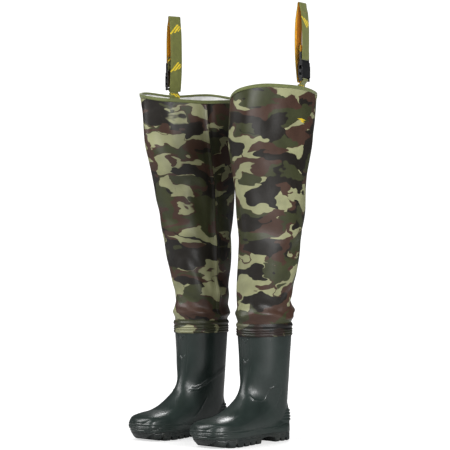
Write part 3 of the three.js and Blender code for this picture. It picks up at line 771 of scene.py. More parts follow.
# Raised and sunken detail of the boot, as metres along the surface's normal.
def bootRelief(points):
    x, y, z = points[..., 0], points[..., 1], points[..., 2]
    # metres round the shaft: nought on either side, growing backwards, so both sides carry the same lines
    turned = np.arctan2(y / boot["halfDepth"], np.abs(x) / boot["halfWidth"])
    around = turned * (boot["halfDepth"] + boot["halfWidth"]) / 2
    height = relief["welt"] * (1 - ease(z, boot["weltHeight"] - 0.001, boot["weltHeight"] + 0.001))
    toe = ease(-y, 0.6 * toeReach, 0.8 * toeReach)
    for level, proud, width in relief["toeBands"]:
        height += toe * proud * bell(z, level, width)
    height += relief["capStep"] * ease(-y, 0.66 * toeReach, 0.8 * toeReach)
    # ankle guard and its inner line, on the shaft's sides only
    flank = ease(z, 0.045, 0.06) * relief["lineProud"]
    for half, lines in ((x > 0, relief["outerLines"]), (x <= 0, relief["innerLines"])):
        for line in lines:
            height += half * flank * bell(lineDistance(around, z, line), 0, relief["lineWidth"])
    # front strip's two edges, and short slanting dashes on it
    upright = ease(z, 0.15, 0.175) * (y < 0)
    height -= relief["stripEdge"] * upright * bell(np.abs(x), relief["stripHalf"], 0.0009)
    for level, rise in relief["dashes"]:
        for end in (-1, 1):
            dash = [(end * 0.009, level + rise * 0.6), (end * 0.001, level - rise * 0.2)]
            height += relief["dashProud"] * (y < 0) * bell(lineDistance(x, z, dash), 0, relief["lineWidth"])
    # kick-off ridges on the back of the heel
    half = relief["kickHalf"]
    back = ease(y, 0.024, 0.036) * (1 - ease(np.abs(x), half, half + 0.006))
    teeth = 0.5 - 0.5 * np.cos((z - 0.046) / relief["kickPitch"] * tau)
    height += relief["kickProud"] * back * teeth * ease(z, 0.0458, 0.0462) * (1 - ease(z, 0.0745, 0.075))
    # slight unevenness of soft rubber
    return height + relief["uneven"] * np.sin(x / 0.031 + 1.3) * np.sin(z / 0.043 + 0.6) * np.sin(y / 0.037)


# Draws the foot's lowest part out to the sole's edge, so that the two meet flush. With q the share of the
# way from the sole's middle to its edge: q' = q + low (1 - q) ease(q, 0.72, 0.88), low being 1 at the sole
# and 0 above the welt, or above the kick-off ridges at the heel.
def spreadToSole(points):
    middle = np.array([0.01 * boot["width"], -0.36 * toeReach])
    edge = soleEdge(720) - middle
    turn = np.arctan2(edge[:, 1], edge[:, 0])
    order = np.argsort(turn)
    across = points[..., :2] - middle
    bearing = np.arctan2(across[..., 1], across[..., 0])
    reach = np.interp(bearing, turn[order], np.hypot(*edge.T)[order], period=tau)
    q = np.hypot(across[..., 0], across[..., 1]) / (reach - 0.0004)
    heel = ease(points[..., 1], 0.02, 0.06)
    toe = ease(-points[..., 1], 0.72 * toeReach, 0.95 * toeReach)
    low = 1 - ease(points[..., 2] - 0.03 * heel - 0.004 * toe, 0.033, 0.052 + 0.018 * heel + 0.012 * toe)
    grown = q + low * np.clip(1 - q, 0, None) * ease(q, 0.72, 0.88)
    spread = points.copy()
    spread[..., :2] = middle + across * (grown / np.maximum(q, 1e-6))[..., None]
    return spread


# The shell's outer face from toe to mouth, a rounded rim, and its inner face back to the toe.
def buildBoot(side):
    stretches = zip(boot["stretches"][:-1], boot["stretches"][1:], boot["rows"])
    places = np.concatenate([*[np.linspace(a, b, rows, endpoint=False) for a, b, rows in stretches], [1.0]])
    outer = bootSurface(places, boot["columns"], 0.0)
    outer = spreadToSole(outer)
    normal = gridNormals(outer)
    outer = outer + normal * bootRelief(outer)[..., None]
    outer[..., 2] = np.maximum(outer[..., 2], boot["soleHeight"] - 0.0002)
    inner = bootSurface(np.linspace(1, 0.02, 32), boot["columns"], boot["wall"])
    rim = outer[-1:] * 0.5 + inner[:1] * 0.5 + [0, 0, 0.0008]
    rings = placed(np.concatenate([outer, rim, inner]), side)
    poles = placed(outer[0].mean(0) - [0, 0.0004, 0], side), placed(inner[-1].mean(0), side)
    addPiece("bootUpper", rings, rubberGreen, side, "foot", ["boot_upper"], "boot_pvc", poles=poles)


# Knitted sock inside the boot: the boot's surface drawn in by its wall and a gap, then by the knit.
def buildBootLining(side):
    places = np.linspace(0.035, 0.995, boot["liningRows"])
    drawnIn = boot["wall"] + boot["liningGap"]
    outer = bootSurface(places, boot["liningColumns"], drawnIn)
    inner = bootSurface(places[::-1], boot["liningColumns"], drawnIn + boot["knit"])
    rings = placed(np.concatenate([outer, inner]), side)
    addPiece("bootLining", rings, bootKnit, side, "foot", ["boot_lining"], "lining")


foxing = {
    # height and how far out, round the strip
    "outline": [
        (0.0215, 0.0002), (0.0235, 0.0006), (0.03, 0.0007), (0.0345, 0.0002), (0.0362, -0.001),
        (0.037, -0.0028), (0.0375, -0.013), (0.0215, -0.013),
    ],
    "heelLift": 0.004,  # its top edge rises this much towards the heel
}


# Strip that wraps the joint of upper and sole: a ring at the sole's edge for each point of its outline.
def buildFoxing(side):
    edge, outward, _ = soleOutline()
    lift = foxing["heelLift"] * ease(edge[:, 1], 0.0, 0.05)
    rings = [np.column_stack([edge + outward * out, z + lift * (z > 0.03)]) for z, out in foxing["outline"]]
    addPiece("foxing", placed(np.array(rings), side), rubberGreen, side, "foot", [], "boot_pvc", loop=True)


sole = {
    # shares of the width outwards, and of the way to the heel (above nought) or the toe
    "edge": [
        (0, 1), (0.23, 0.9), (0.35, 0.62), (0.365, 0.3), (0.35, -0.08), (0.375, -0.25), (0.44, -0.42),
        (0.505, -0.58), (0.515, -0.71), (0.455, -0.84), (0.33, -0.935), (0.13, -0.99), (-0.07, -1),
        (-0.26, -0.975), (-0.4, -0.9), (-0.475, -0.77), (-0.47, -0.61), (-0.405, -0.46), (-0.33, -0.29),
        (-0.31, -0.12), (-0.335, 0.2), (-0.345, 0.62), (-0.23, 0.9),
    ],
    # side wall: share of the height down from the top, and how far it stands out
    "wall": [
        (0.0, -0.004), (0.0, -0.0012), (0.03, -0.0003), (0.1, 0.0), (0.22, 0.0), (0.26, -0.0009),
        (0.3, -0.0009), (0.34, 0.0), (0.46, 0.0), (0.5, -0.0006), (0.54, 0.0), (0.7, 0.0), (0.9, -0.0002),
        (0.97, -0.0007), (1.0, -0.0016),
    ],
    "tuck": 0.012,  # how far the toe's underside is drawn in
    "columns": 460,
    "heelLength": 0.072,
    "archLength": 0.052,
    "archHeight": 0.01,
    "grooveWidth": 0.0074,
    "grooveDepth": 0.008,
    "forePitch": 0.026,
    "heelPitch": 0.0185,
    "archBow": 0.004,
    "archSlope": 0.001,  # half the length of each end's slope
    "toeRise": 0.012,
    "toeStart": 0.74,  # share of the way to the toe at which the sole starts to rise
}


# The sole's edge: a smooth closed curve through the table's points, read off at even lengths along it.
def soleEdge(columns):
    shares = np.array(sole["edge"])
    reach = np.where(shares[:, 1] > 0, boot["heelReach"], toeReach)
    points = np.stack([shares[:, 0] * boot["width"], shares[:, 1] * reach], -1)
    closed = np.concatenate([points[-2:], points, points[:3]])
    dense = readTable(closed, np.linspace(0, 1, 4001))
    start, end = 2 / (len(closed) - 1), (2 + len(points)) / (len(closed) - 1)
    dense = dense[int(start * 4000) : int(end * 4000) + 1]
    run = runAlong(dense)
    return pointsAt(dense, run, np.arange(columns) / columns * run[-1])


# Height of the tread's underside at each (x, y): nought on a lug, raised in grooves, arch and channel.
def treadHeight(x, y):
    heelFront = boot["heelReach"] - sole["heelLength"]
    archFront = heelFront - sole["archLength"]
    pitch, depth = sole["forePitch"], sole["grooveDepth"]
    soft, half = 0.0007, sole["grooveWidth"] / 2
    fore = np.abs((y - archFront + pitch - half + pitch / 2) % pitch - pitch / 2)
    front = (y < archFront - 0.004) * (y > 0.006 - toeReach)
    foreGrooves = (1 - ease(fore, half - soft, half + soft)) * front
    heel = np.min([np.abs(y - heelFront - k * sole["heelPitch"]) for k in (1, 2, 3)], 0)
    heelGrooves = (1 - ease(heel, half - soft, half + soft)) * (y > heelFront)
    deep = depth * (foreGrooves + heelGrooves)
    arch = between(y, archFront, heelFront, sole["archSlope"])
    share = np.clip((y - archFront) / sole["archLength"], 0, 1)
    deep = np.maximum(deep, arch * (sole["archHeight"] + sole["archBow"] * np.sin(share * math.pi)))
    off = np.abs(x - 0.02 * boot["width"] * ease(-y, 0, 0.1))
    channel = (1 - ease(off, 0.0035, 0.005)) * (y < archFront + 0.002) * (y > 0.03 - toeReach)
    deep = np.maximum(deep, channel * depth * 0.8)
    start = -sole["toeStart"] * toeReach
    return deep + sole["toeRise"] * (np.clip(start - y, 0, None) / (toeReach + start)) ** 2


# The sole's edge, its outward directions and the point that its faces close on.
def soleOutline():
    edge = soleEdge(sole["columns"])
    ahead = np.roll(edge, -1, 0) - np.roll(edge, 1, 0)
    ahead /= np.linalg.norm(ahead, axis=1, keepdims=True)
    outward = np.stack([-ahead[:, 1], ahead[:, 0]], -1)
    centre = np.array([0.0, -0.36 * toeReach])
    return edge, outward * np.sign(np.sum(outward * (edge - centre))), centre


# Top face, side wall and tread as rings between the edge and the centre.
def buildSole(side):
    edge, outward, centre = soleOutline()
    tuck = sole["tuck"] * ease(-edge[:, 1], 0.62 * toeReach, toeReach)[:, None]
    top = boot["soleHeight"] - 0.0003
    rings = []
    for share in np.linspace(0.06, 0.94, 14):
        flat = centre + (edge + outward * -0.004 - centre) * share
        rings.append(np.column_stack([flat, np.full(len(edge), top)]))
    for share, proud in sole["wall"]:
        flat = edge + outward * (proud - tuck * share**2)
        low = treadHeight(*flat.T)
        rings.append(np.column_stack([flat, top + (low - top) * share]))
    inner = edge - outward * (0.0016 + tuck)
    for share in np.linspace(0.985, 0.05, 54):
        flat = centre + (inner - centre) * share
        rings.append(np.column_stack([flat, treadHeight(*flat.T)]))
    rings = placed(np.array(rings), side)
    poles = [placed(np.array([*centre, z]), side) for z in (top, treadHeight(*centre))]
    addPiece("outsole", rings, soleRubber, side, "foot", ["outsole"], "sole_rubber", poles=poles)


for side in sides:
    buildBoot(side)
    buildBootLining(side)
    buildFoxing(side)
    buildSole(side)
    wearMaterial(side, "insole", insoleFelt)
print("boots and outsoles built")


leg = {
    "rimHeight": 0.838,
    "mouthHalfDepth": 0.1425,
    "mouthHalfWidth": 0.071,
    "lean": 0.04,  # how far the rim stands outwards of the boot
    "sway": 0.008,  # and the greatest shift backwards
    "twist": 5.0,  # degrees
    # rim: rise per metre outwards and backwards, lift, and how far it sags round one place (degrees, width)
    "rim": {"left": (0.2, -0.03, 0.0, 0.021, -150, 50), "right": (0.2, 0.048, 0.0074, 0.0092, 6, 27)},
    "wall": 0.0009,
    "rows": 176,
    "columns": 228,
    "liningGap": 0.0004,
    "knit": 0.0008,
    "liningRows": 110,
    "liningColumns": 150,
    # share of the height, of the growth in depth and width, of the lean, the sway and the twist
    "sections": [
        (0.0, 0.0, 0.0, 0.0, 0.0, 0.0), (0.05, 0.0, 0.0, 0.0, 0.0, 0.0),
        (0.157, 0.045, 0.18, 0.01, 0.0, 0.15), (0.26, 0.2, 0.38, 0.15, 0.4, 0.5),
        (0.364, 0.35, 0.55, 0.28, 0.6, 0.8), (0.438, 0.44, 0.73, 0.37, 0.6, 1.0),
        (0.612, 0.63, 1.0, 0.46, 0.0, 1.0), (0.79, 0.97, 1.05, 0.68, -0.85, 1.0),
        (1.0, 1.0, 1.0, 1.0, -1.0, 1.0), (1.1, 1.02, 0.98, 1.15, -1.07, 1.0),
    ],
    "kneeHeight": 0.505,
    "kneeBlend": 0.13,  # this far below and above the knee
}


# Leg sizes at each height: straight runs between the table's rows, rounded off by a running mean of 60 mm.
def legTable():
    table = np.array(leg["sections"])
    even = np.linspace(-0.1, 1.2, 600)
    columns = [np.interp(even, table[:, 0], table[:, k]) for k in range(1, 6)]
    wide = np.hanning(48) / np.hanning(48).sum()
    smooth = [np.convolve(np.pad(c, 24, mode="edge"), wide, mode="same")[24:-24] for c in columns]
    return even, smooth


legShares, legColumns = legTable()


def legSizes(z):
    share = (z - boot["shaftHeight"]) / (leg["rimHeight"] - boot["shaftHeight"])
    depth, width, lean, sway, twist = [np.interp(share, legShares, column) for column in legColumns]
    return {
        "a": boot["halfDepth"] + (leg["mouthHalfDepth"] - boot["halfDepth"]) * depth,
        "b": boot["halfWidth"] + (leg["mouthHalfWidth"] - boot["halfWidth"]) * width,
        "out": leg["lean"] * lean,
        "back": leg["sway"] * sway,
        "turn": np.radians(leg["twist"] * twist),
    }


# Angle 0 is outwards, a quarter turn to the back: x = (b + proud) cos, y = (a + proud) sin, turned and
# moved.
def legPoint(angle, z, proud):
    s = legSizes(z)
    x = (s["b"] + proud) * np.cos(angle)
    y = (s["a"] + proud) * np.sin(angle)
    c, d = np.cos(s["turn"]), np.sin(s["turn"])
    return np.stack([s["out"] + x * c - y * d, s["back"] + x * d + y * c, z], -1)


def wrapped(angle):
    return (angle + math.pi) % tau - math.pi


# The mouth's edge: a slanting plane, with a sag = depth * bell(angle from its middle).
def rimHeight(angle, side):
    outSlope, backSlope, lift, sag, middle, width = leg["rim"][side]
    point = legPoint(angle, np.full(np.shape(angle), leg["rimHeight"]), 0.0)
    rise = outSlope * (point[..., 0] - leg["lean"]) + backSlope * point[..., 1]
    off = wrapped(angle - math.radians(middle))
    return leg["rimHeight"] + lift + rise - sag * bell(off, 0, math.radians(width))


# Folds in the cloth: angle (degrees) and height (mm) of the middle, direction (degrees), half length, width
# and depth (mm, below nought sinks in). Each is depth * bell(distance across it) * bell(distance along it).
folds = {
    "left": [
        (-60, 312, 4, 60, 6, 3.5), (-20, 306, -5, 70, 5, 3), (25, 300, 3, 60, 5, 3.5),
        (70, 312, -8, 70, 6, 4), (150, 305, 5, 60, 6, 3.5), (-130, 310, -4, 60, 6, 3.5),
        (-35, 330, -14, 55, 7, -3), (35, 335, 22, 50, 8, -3.5), (48, 318, 12, 45, 7, 4.5),
        (10, 352, 38, 60, 10, -3.5), (-75, 380, 72, 80, 12, -3.5), (60, 375, 55, 60, 11, -4),
        (-25, 430, 62, 100, 16, 3), (20, 470, 20, 80, 12, -3.5), (-45, 512, -10, 70, 11, -3),
        (40, 530, -28, 75, 12, -3.5), (0, 600, 80, 120, 20, 3.5), (-60, 625, -75, 110, 16, -3.5),
        (55, 660, 70, 120, 18, -4.5), (-20, 700, 12, 80, 12, -2.5), (30, 740, -60, 110, 18, 3.5),
        (-70, 780, 82, 90, 16, 3.5), (-35, 800, -84, 100, 15, -3.5), (75, 770, 80, 110, 17, 4),
        (120, 600, 75, 150, 20, -4.5), (-120, 560, -70, 130, 18, -4), (150, 700, 60, 120, 20, 4),
        (-150, 430, 65, 110, 16, -4), (110, 450, -55, 100, 16, 4), (170, 380, 40, 80, 12, -3.5),
    ],
    "right": [
        (-60, 308, -4, 60, 6, 3.5), (-150, 306, 5, 70, 5, 3.5), (150, 302, -3, 60, 6, 4),
        (30, 310, 5, 60, 6, 3.5), (-100, 318, 8, 60, 6, 3.5), (100, 312, 6, 60, 6, 3.5),
        (165, 398, 5, 50, 20, -6), (160, 352, 4, 60, 14, 4), (-125, 335, 25, 60, 9, -4),
        (-80, 362, -30, 70, 10, -4), (-150, 385, 60, 70, 11, -3.5), (-60, 420, 70, 100, 14, 3.5),
        (-110, 455, -20, 70, 12, -4), (-145, 500, 18, 70, 11, 3.5), (-95, 545, 15, 80, 12, -3.5),
        (-160, 560, 78, 110, 12, -4.5), (-70, 600, -68, 120, 18, 3.5), (-125, 620, -30, 80, 14, -4),
        (-95, 690, 78, 130, 20, 4), (-150, 700, -80, 110, 15, 3.5), (-115, 745, 70, 110, 16, -4),
        (-70, 770, -80, 100, 16, -3.5), (-135, 790, 84, 90, 14, 3.5), (40, 560, 75, 140, 20, -4.5),
        (80, 660, -70, 140, 20, 4.5), (10, 700, 75, 120, 18, -4), (120, 500, 60, 120, 16, -4.5),
        (60, 400, -50, 100, 14, 4), (-20, 440, 65, 110, 16, -4), (0, 340, 30, 70, 10, -3.5),
    ],
}
foldGrowth = {"above": 420, "width": (1.25, 2.0), "depth": (1.15, 1.55)}  # below and above that height
swell = {"waves": 0.0016, "seam": 0.0012, "besideSeam": 0.0035, "overBand": 0.0028}


# How far the cloth stands out from its plain oval: the sum of its folds, slow waves and the side seam.
def clothSwell(angle, z, side):
    radius = 0.085 + 0.05 * ease(z, 0.3, 0.8)
    total = np.zeros(np.broadcast(angle, z).shape)
    for degrees, height, direction, half, width, depth in folds[side]:
        dx = wrapped(angle - math.radians(degrees)) * radius
        dz = z - height / 1000
        c, s = math.cos(math.radians(direction)), math.sin(math.radians(direction))
        along, across = dx * c + dz * s, dz * c - dx * s
        half = half / 1000
        across = across + 0.12 * along**2 / half
        upper = height > foldGrowth["above"]
        width, depth = foldGrowth["width"][upper] * width / 1000, foldGrowth["depth"][upper] * depth / 1000
        total = total + depth * bell(across, 0, width) * bell(along, 0, half)
    slow = np.sin(2 * angle + 9 * z + 0.8) * np.sin(14 * z + 0.4) + 0.6 * np.sin(3 * angle - 17 * z + 2.1)
    total = total + swell["waves"] * slow * ease(z, 0.3, 0.38)
    # welded side seam: a narrow standing line with the cloth drawn in beside it
    off = np.abs(wrapped(angle - math.pi)) * radius
    total = total + swell["seam"] * bell(off, 0, 0.0018)
    total = total - swell["besideSeam"] * bell(off, 0.014, 0.01) * ease(z, 0.3, 0.36)
    # cloth gathers over the band and lies flat against it at the foot and under the binding at the top
    total = total + swell["overBand"] * bell(z, 0.302, 0.012)
    return total * ease(z, 0.284, 0.297) * (1 - 0.75 * ease(z, 0.8, 0.86))


# Angles once round the leg from its inner seam, the first one again at the end.
def roundLeg(columns):
    return np.arange(columns + 1) / columns * tau + math.pi


# Rings of cloth from the boot to the rim, with u the length round from the outer side and v the height.
def clothRings(side, proud, rows, columns, low):
    angle = roundLeg(columns)[None]
    share = np.linspace(0, 1, rows)[:, None]
    z = low + (rimHeight(angle, side) - low) * share
    angles = np.broadcast_to(angle, z.shape)
    points = legPoint(angles, z, proud + clothSwell(angles, z, side))
    step = np.linalg.norm(np.diff(points, axis=1), axis=2)
    run = np.concatenate([np.zeros((rows, 1)), np.cumsum(step, 1)], 1)
    run = run - run[:, -1:] / 2
    return points[:, :-1], np.stack([run, z], -1)


# Bakes the piece's placement into its mesh.
def bendAtKnee(piece):
    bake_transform(piece)


seamRun = {}  # the cloth's half length round at each height, for the seam tape's pattern


# A sheet of the leg: an outer and an inner face, each so far inside the plain cloth.
def buildSheet(name, insets, rows, columns, material, side, nodes, slot):
    low = boot["shaftHeight"] + 0.004
    (outer, outerUv), (inner, innerUv) = [clothRings(side, -inset, rows, columns, low) for inset in insets]
    rings = placed(np.concatenate([outer, inner[::-1]]), side)
    uv = np.concatenate([outerUv, innerUv[::-1]])
    bendAtKnee(addPiece(name, rings, material, side, None, nodes, slot, uv=uv, loop=True))
    return outerUv


def buildLeg(side):
    wall, gap, knit = leg["wall"], leg["liningGap"], leg["knit"]
    nodes = ["leg_lower", "leg_upper", "knee_fold"]
    sizes = leg["rows"], leg["columns"]
    edge = buildSheet("legCloth", (0.0, wall), *sizes, legCloth[side], side, nodes, "coated_cloth")[:, -1]
    seamRun[side] = (edge[:, 1], edge[:, 0])
    insets = (wall + gap, wall + gap + knit)
    buildSheet("legLining", insets, leg["liningRows"], leg["liningColumns"], liningKnit, side, [], "lining")


hem = {
    "height": 0.0076,  # of its outer leg
    "inside": 0.005,  # of its inner leg
    "thickness": 0.0011,
    "lap": 0.0008,
    "inset": 0.0014,  # room inside for the lining
    "hollow": 0.0006,  # from the rim down to the cloth's edge
    "columns": 260,
}


# The binding's section is a narrow upside-down U: two straight legs joined by a flattened half circle.
def buildHem(side):
    angle = roundLeg(hem["columns"])[None]
    out, inside = hem["thickness"] + 0.0002, -leg["wall"] - hem["inset"] - hem["thickness"]
    middle, radius = (out + inside) / 2, (out - inside) / 2
    bend = np.linspace(0, math.pi, 11)
    outline = [(out, -hem["height"]), (out + 0.0002, -hem["height"] * 0.6), (out, -hem["height"] * 0.2)]
    outline += [(middle + radius * math.cos(t), radius * 0.4 * math.sin(t)) for t in bend]
    outline += [(inside, -hem["inside"] * 0.3), (inside, -hem["inside"])]
    outline += [(inside + hem["lap"], -hem["inside"]), (inside + hem["lap"], -hem["hollow"])]
    outline += [(out - hem["lap"], -hem["hollow"]), (out - hem["lap"], -hem["height"])]
    rings, uv = [], []
    run = 0.0
    for k, (proud, lift) in enumerate(outline):
        z = rimHeight(angle, side) + lift + 0.0004 * np.sin(angle * 7 + 1.0)
        points = legPoint(angle, z, proud + clothSwell(angle, z, side))[0]
        rings.append(points[:-1])
        around = runAlong(points)
        run += 0 if k == 0 else math.hypot(proud - outline[k - 1][0], lift - outline[k - 1][1])
        uv.append(np.stack([around, np.full(len(around), run)], -1))
    rings, uv = placed(np.array(rings), side), np.array(uv)
    addPiece("rimBinding", rings, bindingTape, side, "thigh", ["top_hem"], "binding", uv=uv, loop=True)


band = {
    "low": 0.255,
    "high": 0.2855,
    "thickness": 0.0023,
    "rows": 90,
    "columns": 220,
    # height, how far out and half width of each ridge; the fourth is a dip
    "ridges": [
        (0.2585, 0.0012, 0.0016), (0.2645, 0.0013, 0.0014), (0.27, 0.0014, 0.0015),
        (0.2745, -0.0007, 0.0012), (0.28, 0.0016, 0.0032),
    ],
}


# Section of the band: a plain wrap with welded ridges, proud = thickness + the sum of the ridges' bells.
def buildBand(side):
    angle = roundLeg(band["columns"])
    z = np.linspace(band["low"], band["high"], band["rows"])
    ridges = sum(proud * bell(z, height, half) for height, proud, half in band["ridges"])
    profile = band["thickness"] + ridges
    sway = 0.0004 * np.sin(angle * 5 + 0.7) + 0.0003 * np.sin(angle * 11)
    rings, uv = [], []
    shaft = np.full(angle.shape, boot["shaftHeight"])
    shape = [(height, proud) for height, proud in zip(z, profile)]
    shape += [(height, 0.0008) for height in np.linspace(band["high"], band["low"], 6)]
    for height, proud in shape:
        points = legPoint(angle, shaft, proud + sway)
        points[:, 2] = height + 0.0006 * np.sin(angle * 2 + 0.5)
        rings.append(points[:-1])
        around = runAlong(points)
        uv.append(np.stack([around - around[-1] / 2, np.full(len(around), height)], -1))
    rings, uv, nodes = placed(np.array(rings), side), np.array(uv), ["joint_band"]
    addPiece("jointBand", rings, bandCloth[side], side, "foot", nodes, "coated_cloth", uv=uv, loop=True)


tape = {"halfWidth": 0.0075, "thickness": 0.0007, "low": 0.292, "rows": 150}


# Turns a strip's columns into rings, with its pattern, and leaves off the column that closes each ring.
def stripRings(columns, uv, side):
    return placed(np.array(columns).transpose(1, 0, 2), side)[:, :-1], np.array(uv).transpose(1, 0, 2)


# A flat strip on the leg's inner side, each section point (across, lift), that follows the cloth's swell.
def buildSeam(side):
    half = [(-1, 0.0), (-0.97, 0.6), (-0.85, 1.0), (-0.3, 0.9), (-0.08, 0.8), (-0.01, 0.1)]
    section = half + [(-across, lift) for across, lift in half[::-1]] + [(0.5, -0.2), (-0.5, -0.2)]
    top = rimHeight(np.array([math.pi]), side)[0] - hem["height"] - 0.001
    z = np.linspace(tape["low"], top, tape["rows"])
    sizes = legSizes(z)
    rings, uv = [], []
    for across, lift in section + section[:1]:
        angle = math.pi + across * tape["halfWidth"] / sizes["a"]
        proud = clothSwell(angle, z, side) + 0.0002 + lift * tape["thickness"]
        rings.append(legPoint(angle, z, proud))
        edge = np.interp(z, *seamRun[side]) * (1 if across < 0 else -1)
        uv.append(np.stack([edge + across * tape["halfWidth"], z], -1))
    rings, uv = stripRings(rings, uv, side)
    nodes = ["seam_tape_lower", "seam_tape_upper"]
    piece = addPiece("seamTape", rings, legCloth[side], side, None, nodes, "coated_cloth", uv=uv)
    bendAtKnee(piece)


for side in sides:
    buildLeg(side)
    buildHem(side)
    buildBand(side)
    buildSeam(side)
print("legs, bindings, bands and seams built")


strap = {
    # heights over the hinge: the loop's top, and the tops of its front run and of the turn round the plug's
    # bar
    "height": 0.196,
    "frontTop": 0.172,
    "turnTop": 0.093,
    "spread": 0.01,  # how far the loop bows to each side
    "thickness": 0.0016,
    "facing": 12.0,  # degrees that its flat side turns backwards
    "behind": 6.0,  # degrees round the rim from its outermost point
    "barOffset": 0.0065,  # the buckle's bars stand this far outwards of the hinge
    "barRadius": 0.002,
    "barHeight": 0.011,  # the socket's bar
    "lowerBar": 0.062,  # the plug's bars
    "upperBar": 0.074,
    "slack": 0.0004,  # between a bar and the webbing
    "tabWidth": 0.0245,
    "anchorLength": 0.036,
    "anchorInset": 0.004,  # behind the cloth's face
    "anchorRows": 40,
}
strapAngle = math.radians(strap["behind"])
webbingRing = strap["barRadius"] + strap["slack"] + strap["thickness"] / 2
hinge = np.array(next(joint["pos_m"] for joint in frame["joints"] if joint["name"] == "left_strap_swing"))


# Strap points, x outwards and y along the rim, to the pair's frame: turned by its facing, then mirrored.
def strapPlaced(points, side):
    c, s = math.cos(math.radians(strap["facing"])), math.sin(math.radians(strap["facing"]))
    x, y, z = points[..., 0], points[..., 1], points[..., 2]
    return (np.stack([x * c - y * s, x * s + y * c, z], -1) + hinge) * [sides[side], 1, 1]


# A ribbon along a line of (x, z): a flat round-cornered section laid across its normal at even steps.
def ribbon(line, width, thickness, samples, edgeWave, start):
    dense = readTable(line, np.linspace(0, 1, 1200))
    run = runAlong(dense)
    at = np.linspace(0, run[-1], samples)
    path = pointsAt(dense, run, at)
    along = np.gradient(path, axis=0)
    along /= np.linalg.norm(along, axis=1, keepdims=True)
    normal = np.stack([along[:, 1], -along[:, 0]], -1)
    half, thick = width / 2, thickness / 2
    bend = thick * 0.9
    face = [
        (-half + bend, thick), (-half * 0.5, thick * 1.03), (0, thick), (half * 0.5, thick * 1.03),
        (half - bend, thick), (half - bend * 0.3, thick * 0.7), (half, 0),
        (half - bend * 0.3, -thick * 0.7),
    ]
    section = face + [(-across, -out) for across, out in face]
    mapped = [
        0.03, 0.25, 0.5, 0.75, 0.97, 0.985, 1.0, 1.015, 1.03, 1.25, 1.5, 1.75, 1.97, 1.98, 1.99, 2.0, 2.03,
    ]
    wave = edgeWave * np.sin(at / 0.031 + 0.5)
    rings = np.empty((samples, len(section), 3))
    uv = np.empty((samples, len(section) + 1, 2))
    for k, (across, out) in enumerate(section):
        rings[:, k, 0] = path[:, 0] + normal[:, 0] * out
        rings[:, k, 1] = across + wave
        rings[:, k, 2] = path[:, 1] + normal[:, 1] * out
    uv[..., 0], uv[..., 1] = mapped, (at + start)[:, None]
    return rings, uv


def addRibbon(name, line, side, body, nodes, width=webbingWidth, samples=160, wave=0.0, start=0.0):
    rings, uv = ribbon(line, width, strap["thickness"], samples, wave, start)
    return addPiece(name, strapPlaced(rings, side), webbing, side, body, nodes, "webbing", uv=uv)


# The webbing's middle line round a bar.
def roundBar(x, z, angles):
    return [(x + webbingRing * math.cos(t), z + webbingRing * math.sin(t)) for t in angles]


# Up from the hinge at the rim, bowed inwards, and folded over at the top.
def buildHipStrap(side):
    h, spread = strap["height"], strap["spread"]
    back = [
        (-0.0027, 0.0043), (-0.0046, 0.012), (-0.0066, 0.03), (-0.85 * spread, 0.05),
        (-0.97 * spread, 0.075), (-spread, 0.1), (-0.96 * spread, 0.128), (-0.85 * spread, 0.15),
        (-0.0058, 0.17), (-0.0034, h - 0.012),
    ]
    fold = [(-0.0024, h - 0.003), (0.0, h - 0.0008), (0.0024, h - 0.003), (0.0034, h - 0.012)]
    loop = back + fold + [(0.68 * spread, strap["frontTop"])]
    addRibbon("hipStrap", loop, side, "strap", ["hip_strap"], samples=260, wave=0.0004)


# The front run down from the loop to the turn round the plug, flattening towards its own top, on a mesh of
# its own.
def buildStrapFront(side):
    spread, top = strap["spread"], strap["frontTop"]
    line = [(0.7 * spread, top - 0.0002), (0.9 * spread, 0.15), (0.98 * spread, 0.135), (spread, 0.12)]
    line.append((spread, strap["turnTop"]))
    piece = addRibbon("strapFront", line, side, "strap", ["strap_front"], samples=90, start=0.039)
    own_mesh(piece)


# Down the front, half way round the plug's lower bar, and up again behind it.
def buildStrapTurn(side):
    bar, top, upper = strap["barOffset"], strap["turnTop"], strap["upperBar"]
    underBar = roundBar(bar, strap["lowerBar"], [math.radians(t) for t in range(0, -181, -30)])
    line = [(strap["spread"], top), (bar + webbingRing, upper), *underBar, (bar - webbingRing, upper)]
    line.append((bar - webbingRing, top))
    addRibbon("strapTurn", line, side, "plug", ["strap_turn"], samples=150, start=0.085)


# A short loop over the socket's bar, both of its ends at the rim.
def buildStrapTab(side):
    bar, height = strap["barOffset"], strap["barHeight"]
    lean = math.atan2(height, bar)
    hook = roundBar(bar, height, np.linspace(lean - 2.0, lean + 2.0, 11))
    line = [(-0.0012, -0.0007), (0.0005, 0.003), *hook[::-1], (0.003, 0.0025), (0.0012, -0.0011)]
    addRibbon("strapTab", line, side, "strap", ["strap_tab"], width=strap["tabWidth"], samples=110)


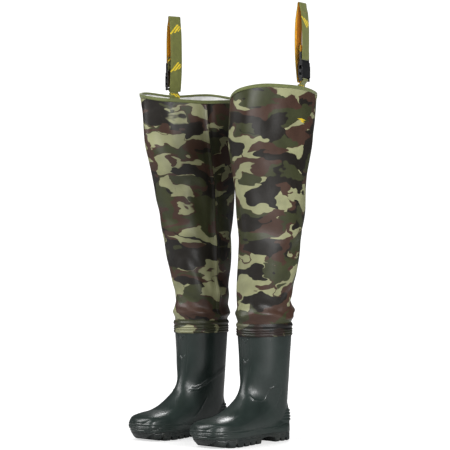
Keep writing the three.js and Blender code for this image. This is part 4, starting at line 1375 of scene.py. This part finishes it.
# The stitched end inside the leg, under the binding: its section (across, lift) bends round with the cloth.
def buildStrapAnchor(side):
    rows = strap["anchorRows"]
    rim = rimHeight(np.array([strapAngle]), side)[0]
    z = np.linspace(rim - strap["anchorLength"], hinge[2] + 0.0001, rows)
    section = [
        (-1, 0.2), (-0.95, 0.8), (-0.5, 1.0), (0, 1.0), (0.5, 1.0), (0.95, 0.8), (1, 0.2), (0.5, 0), (0, 0),
        (-0.5, 0),
    ]
    rings, uv = [], []
    for across, lift in section + section[:1]:
        angle = strapAngle + across * webbingWidth / 2 / legSizes(z)["a"]
        proud = -strap["anchorInset"] + 0.0022 * ease(z, rim, rim + 0.004) - lift * strap["thickness"]
        rings.append(legPoint(angle, z, proud))
        uv.append(np.stack([np.full(rows, 1.5 + across * 0.47), z - z[0] + 0.02], -1))
    rings, uv = stripRings(rings, uv, side)
    addPiece("strapAnchor", rings, webbing, side, "thigh", ["strap_anchor"], "webbing", uv=uv)


plugBar = {
    "height": 0.0555,
    "halfX": 0.0016,
    "halfZ": 0.004,
    "squareness": 0.6,
    # place along it, and share of the full section
    "ends": [(-0.0152, 0.2), (-0.0149, 0.8), (-0.0142, 1.0), (0.0142, 1.0), (0.0149, 0.8), (0.0152, 0.2)],
}


# A rounded bar drawn along y with domed ends: x = half sign(c) |c|^squareness, z = half sign(s)
# |s|^squareness.
def buildPlugBar(side):
    ends, power = np.array(plugBar["ends"]), plugBar["squareness"]
    turn = np.arange(16) / 16 * tau
    c, s = np.cos(turn), np.sin(turn)
    x = strap["barOffset"] + plugBar["halfX"] * np.sign(c) * np.abs(c) ** power * ends[:, 1:]
    z = plugBar["height"] + plugBar["halfZ"] * np.sign(s) * np.abs(s) ** power * ends[:, 1:]
    rings = strapPlaced(np.stack([x, np.broadcast_to(ends[:, :1], x.shape), z], -1), side)
    addPiece("buckleWeb", rings, blackPlastic, side, "plug", [], "black_plastic")


for side in sides:
    buildHipStrap(side)
    buildStrapFront(side)
    buildStrapTurn(side)
    buildStrapTab(side)
    buildStrapAnchor(side)
    buildPlugBar(side)
    for node in ("buckle_socket", "buckle_plug", "buckle_arm_front", "buckle_arm_back"):
        wearMaterial(side, node, blackPlastic)
print("straps and buckles built")

bpy.context.view_layer.update()
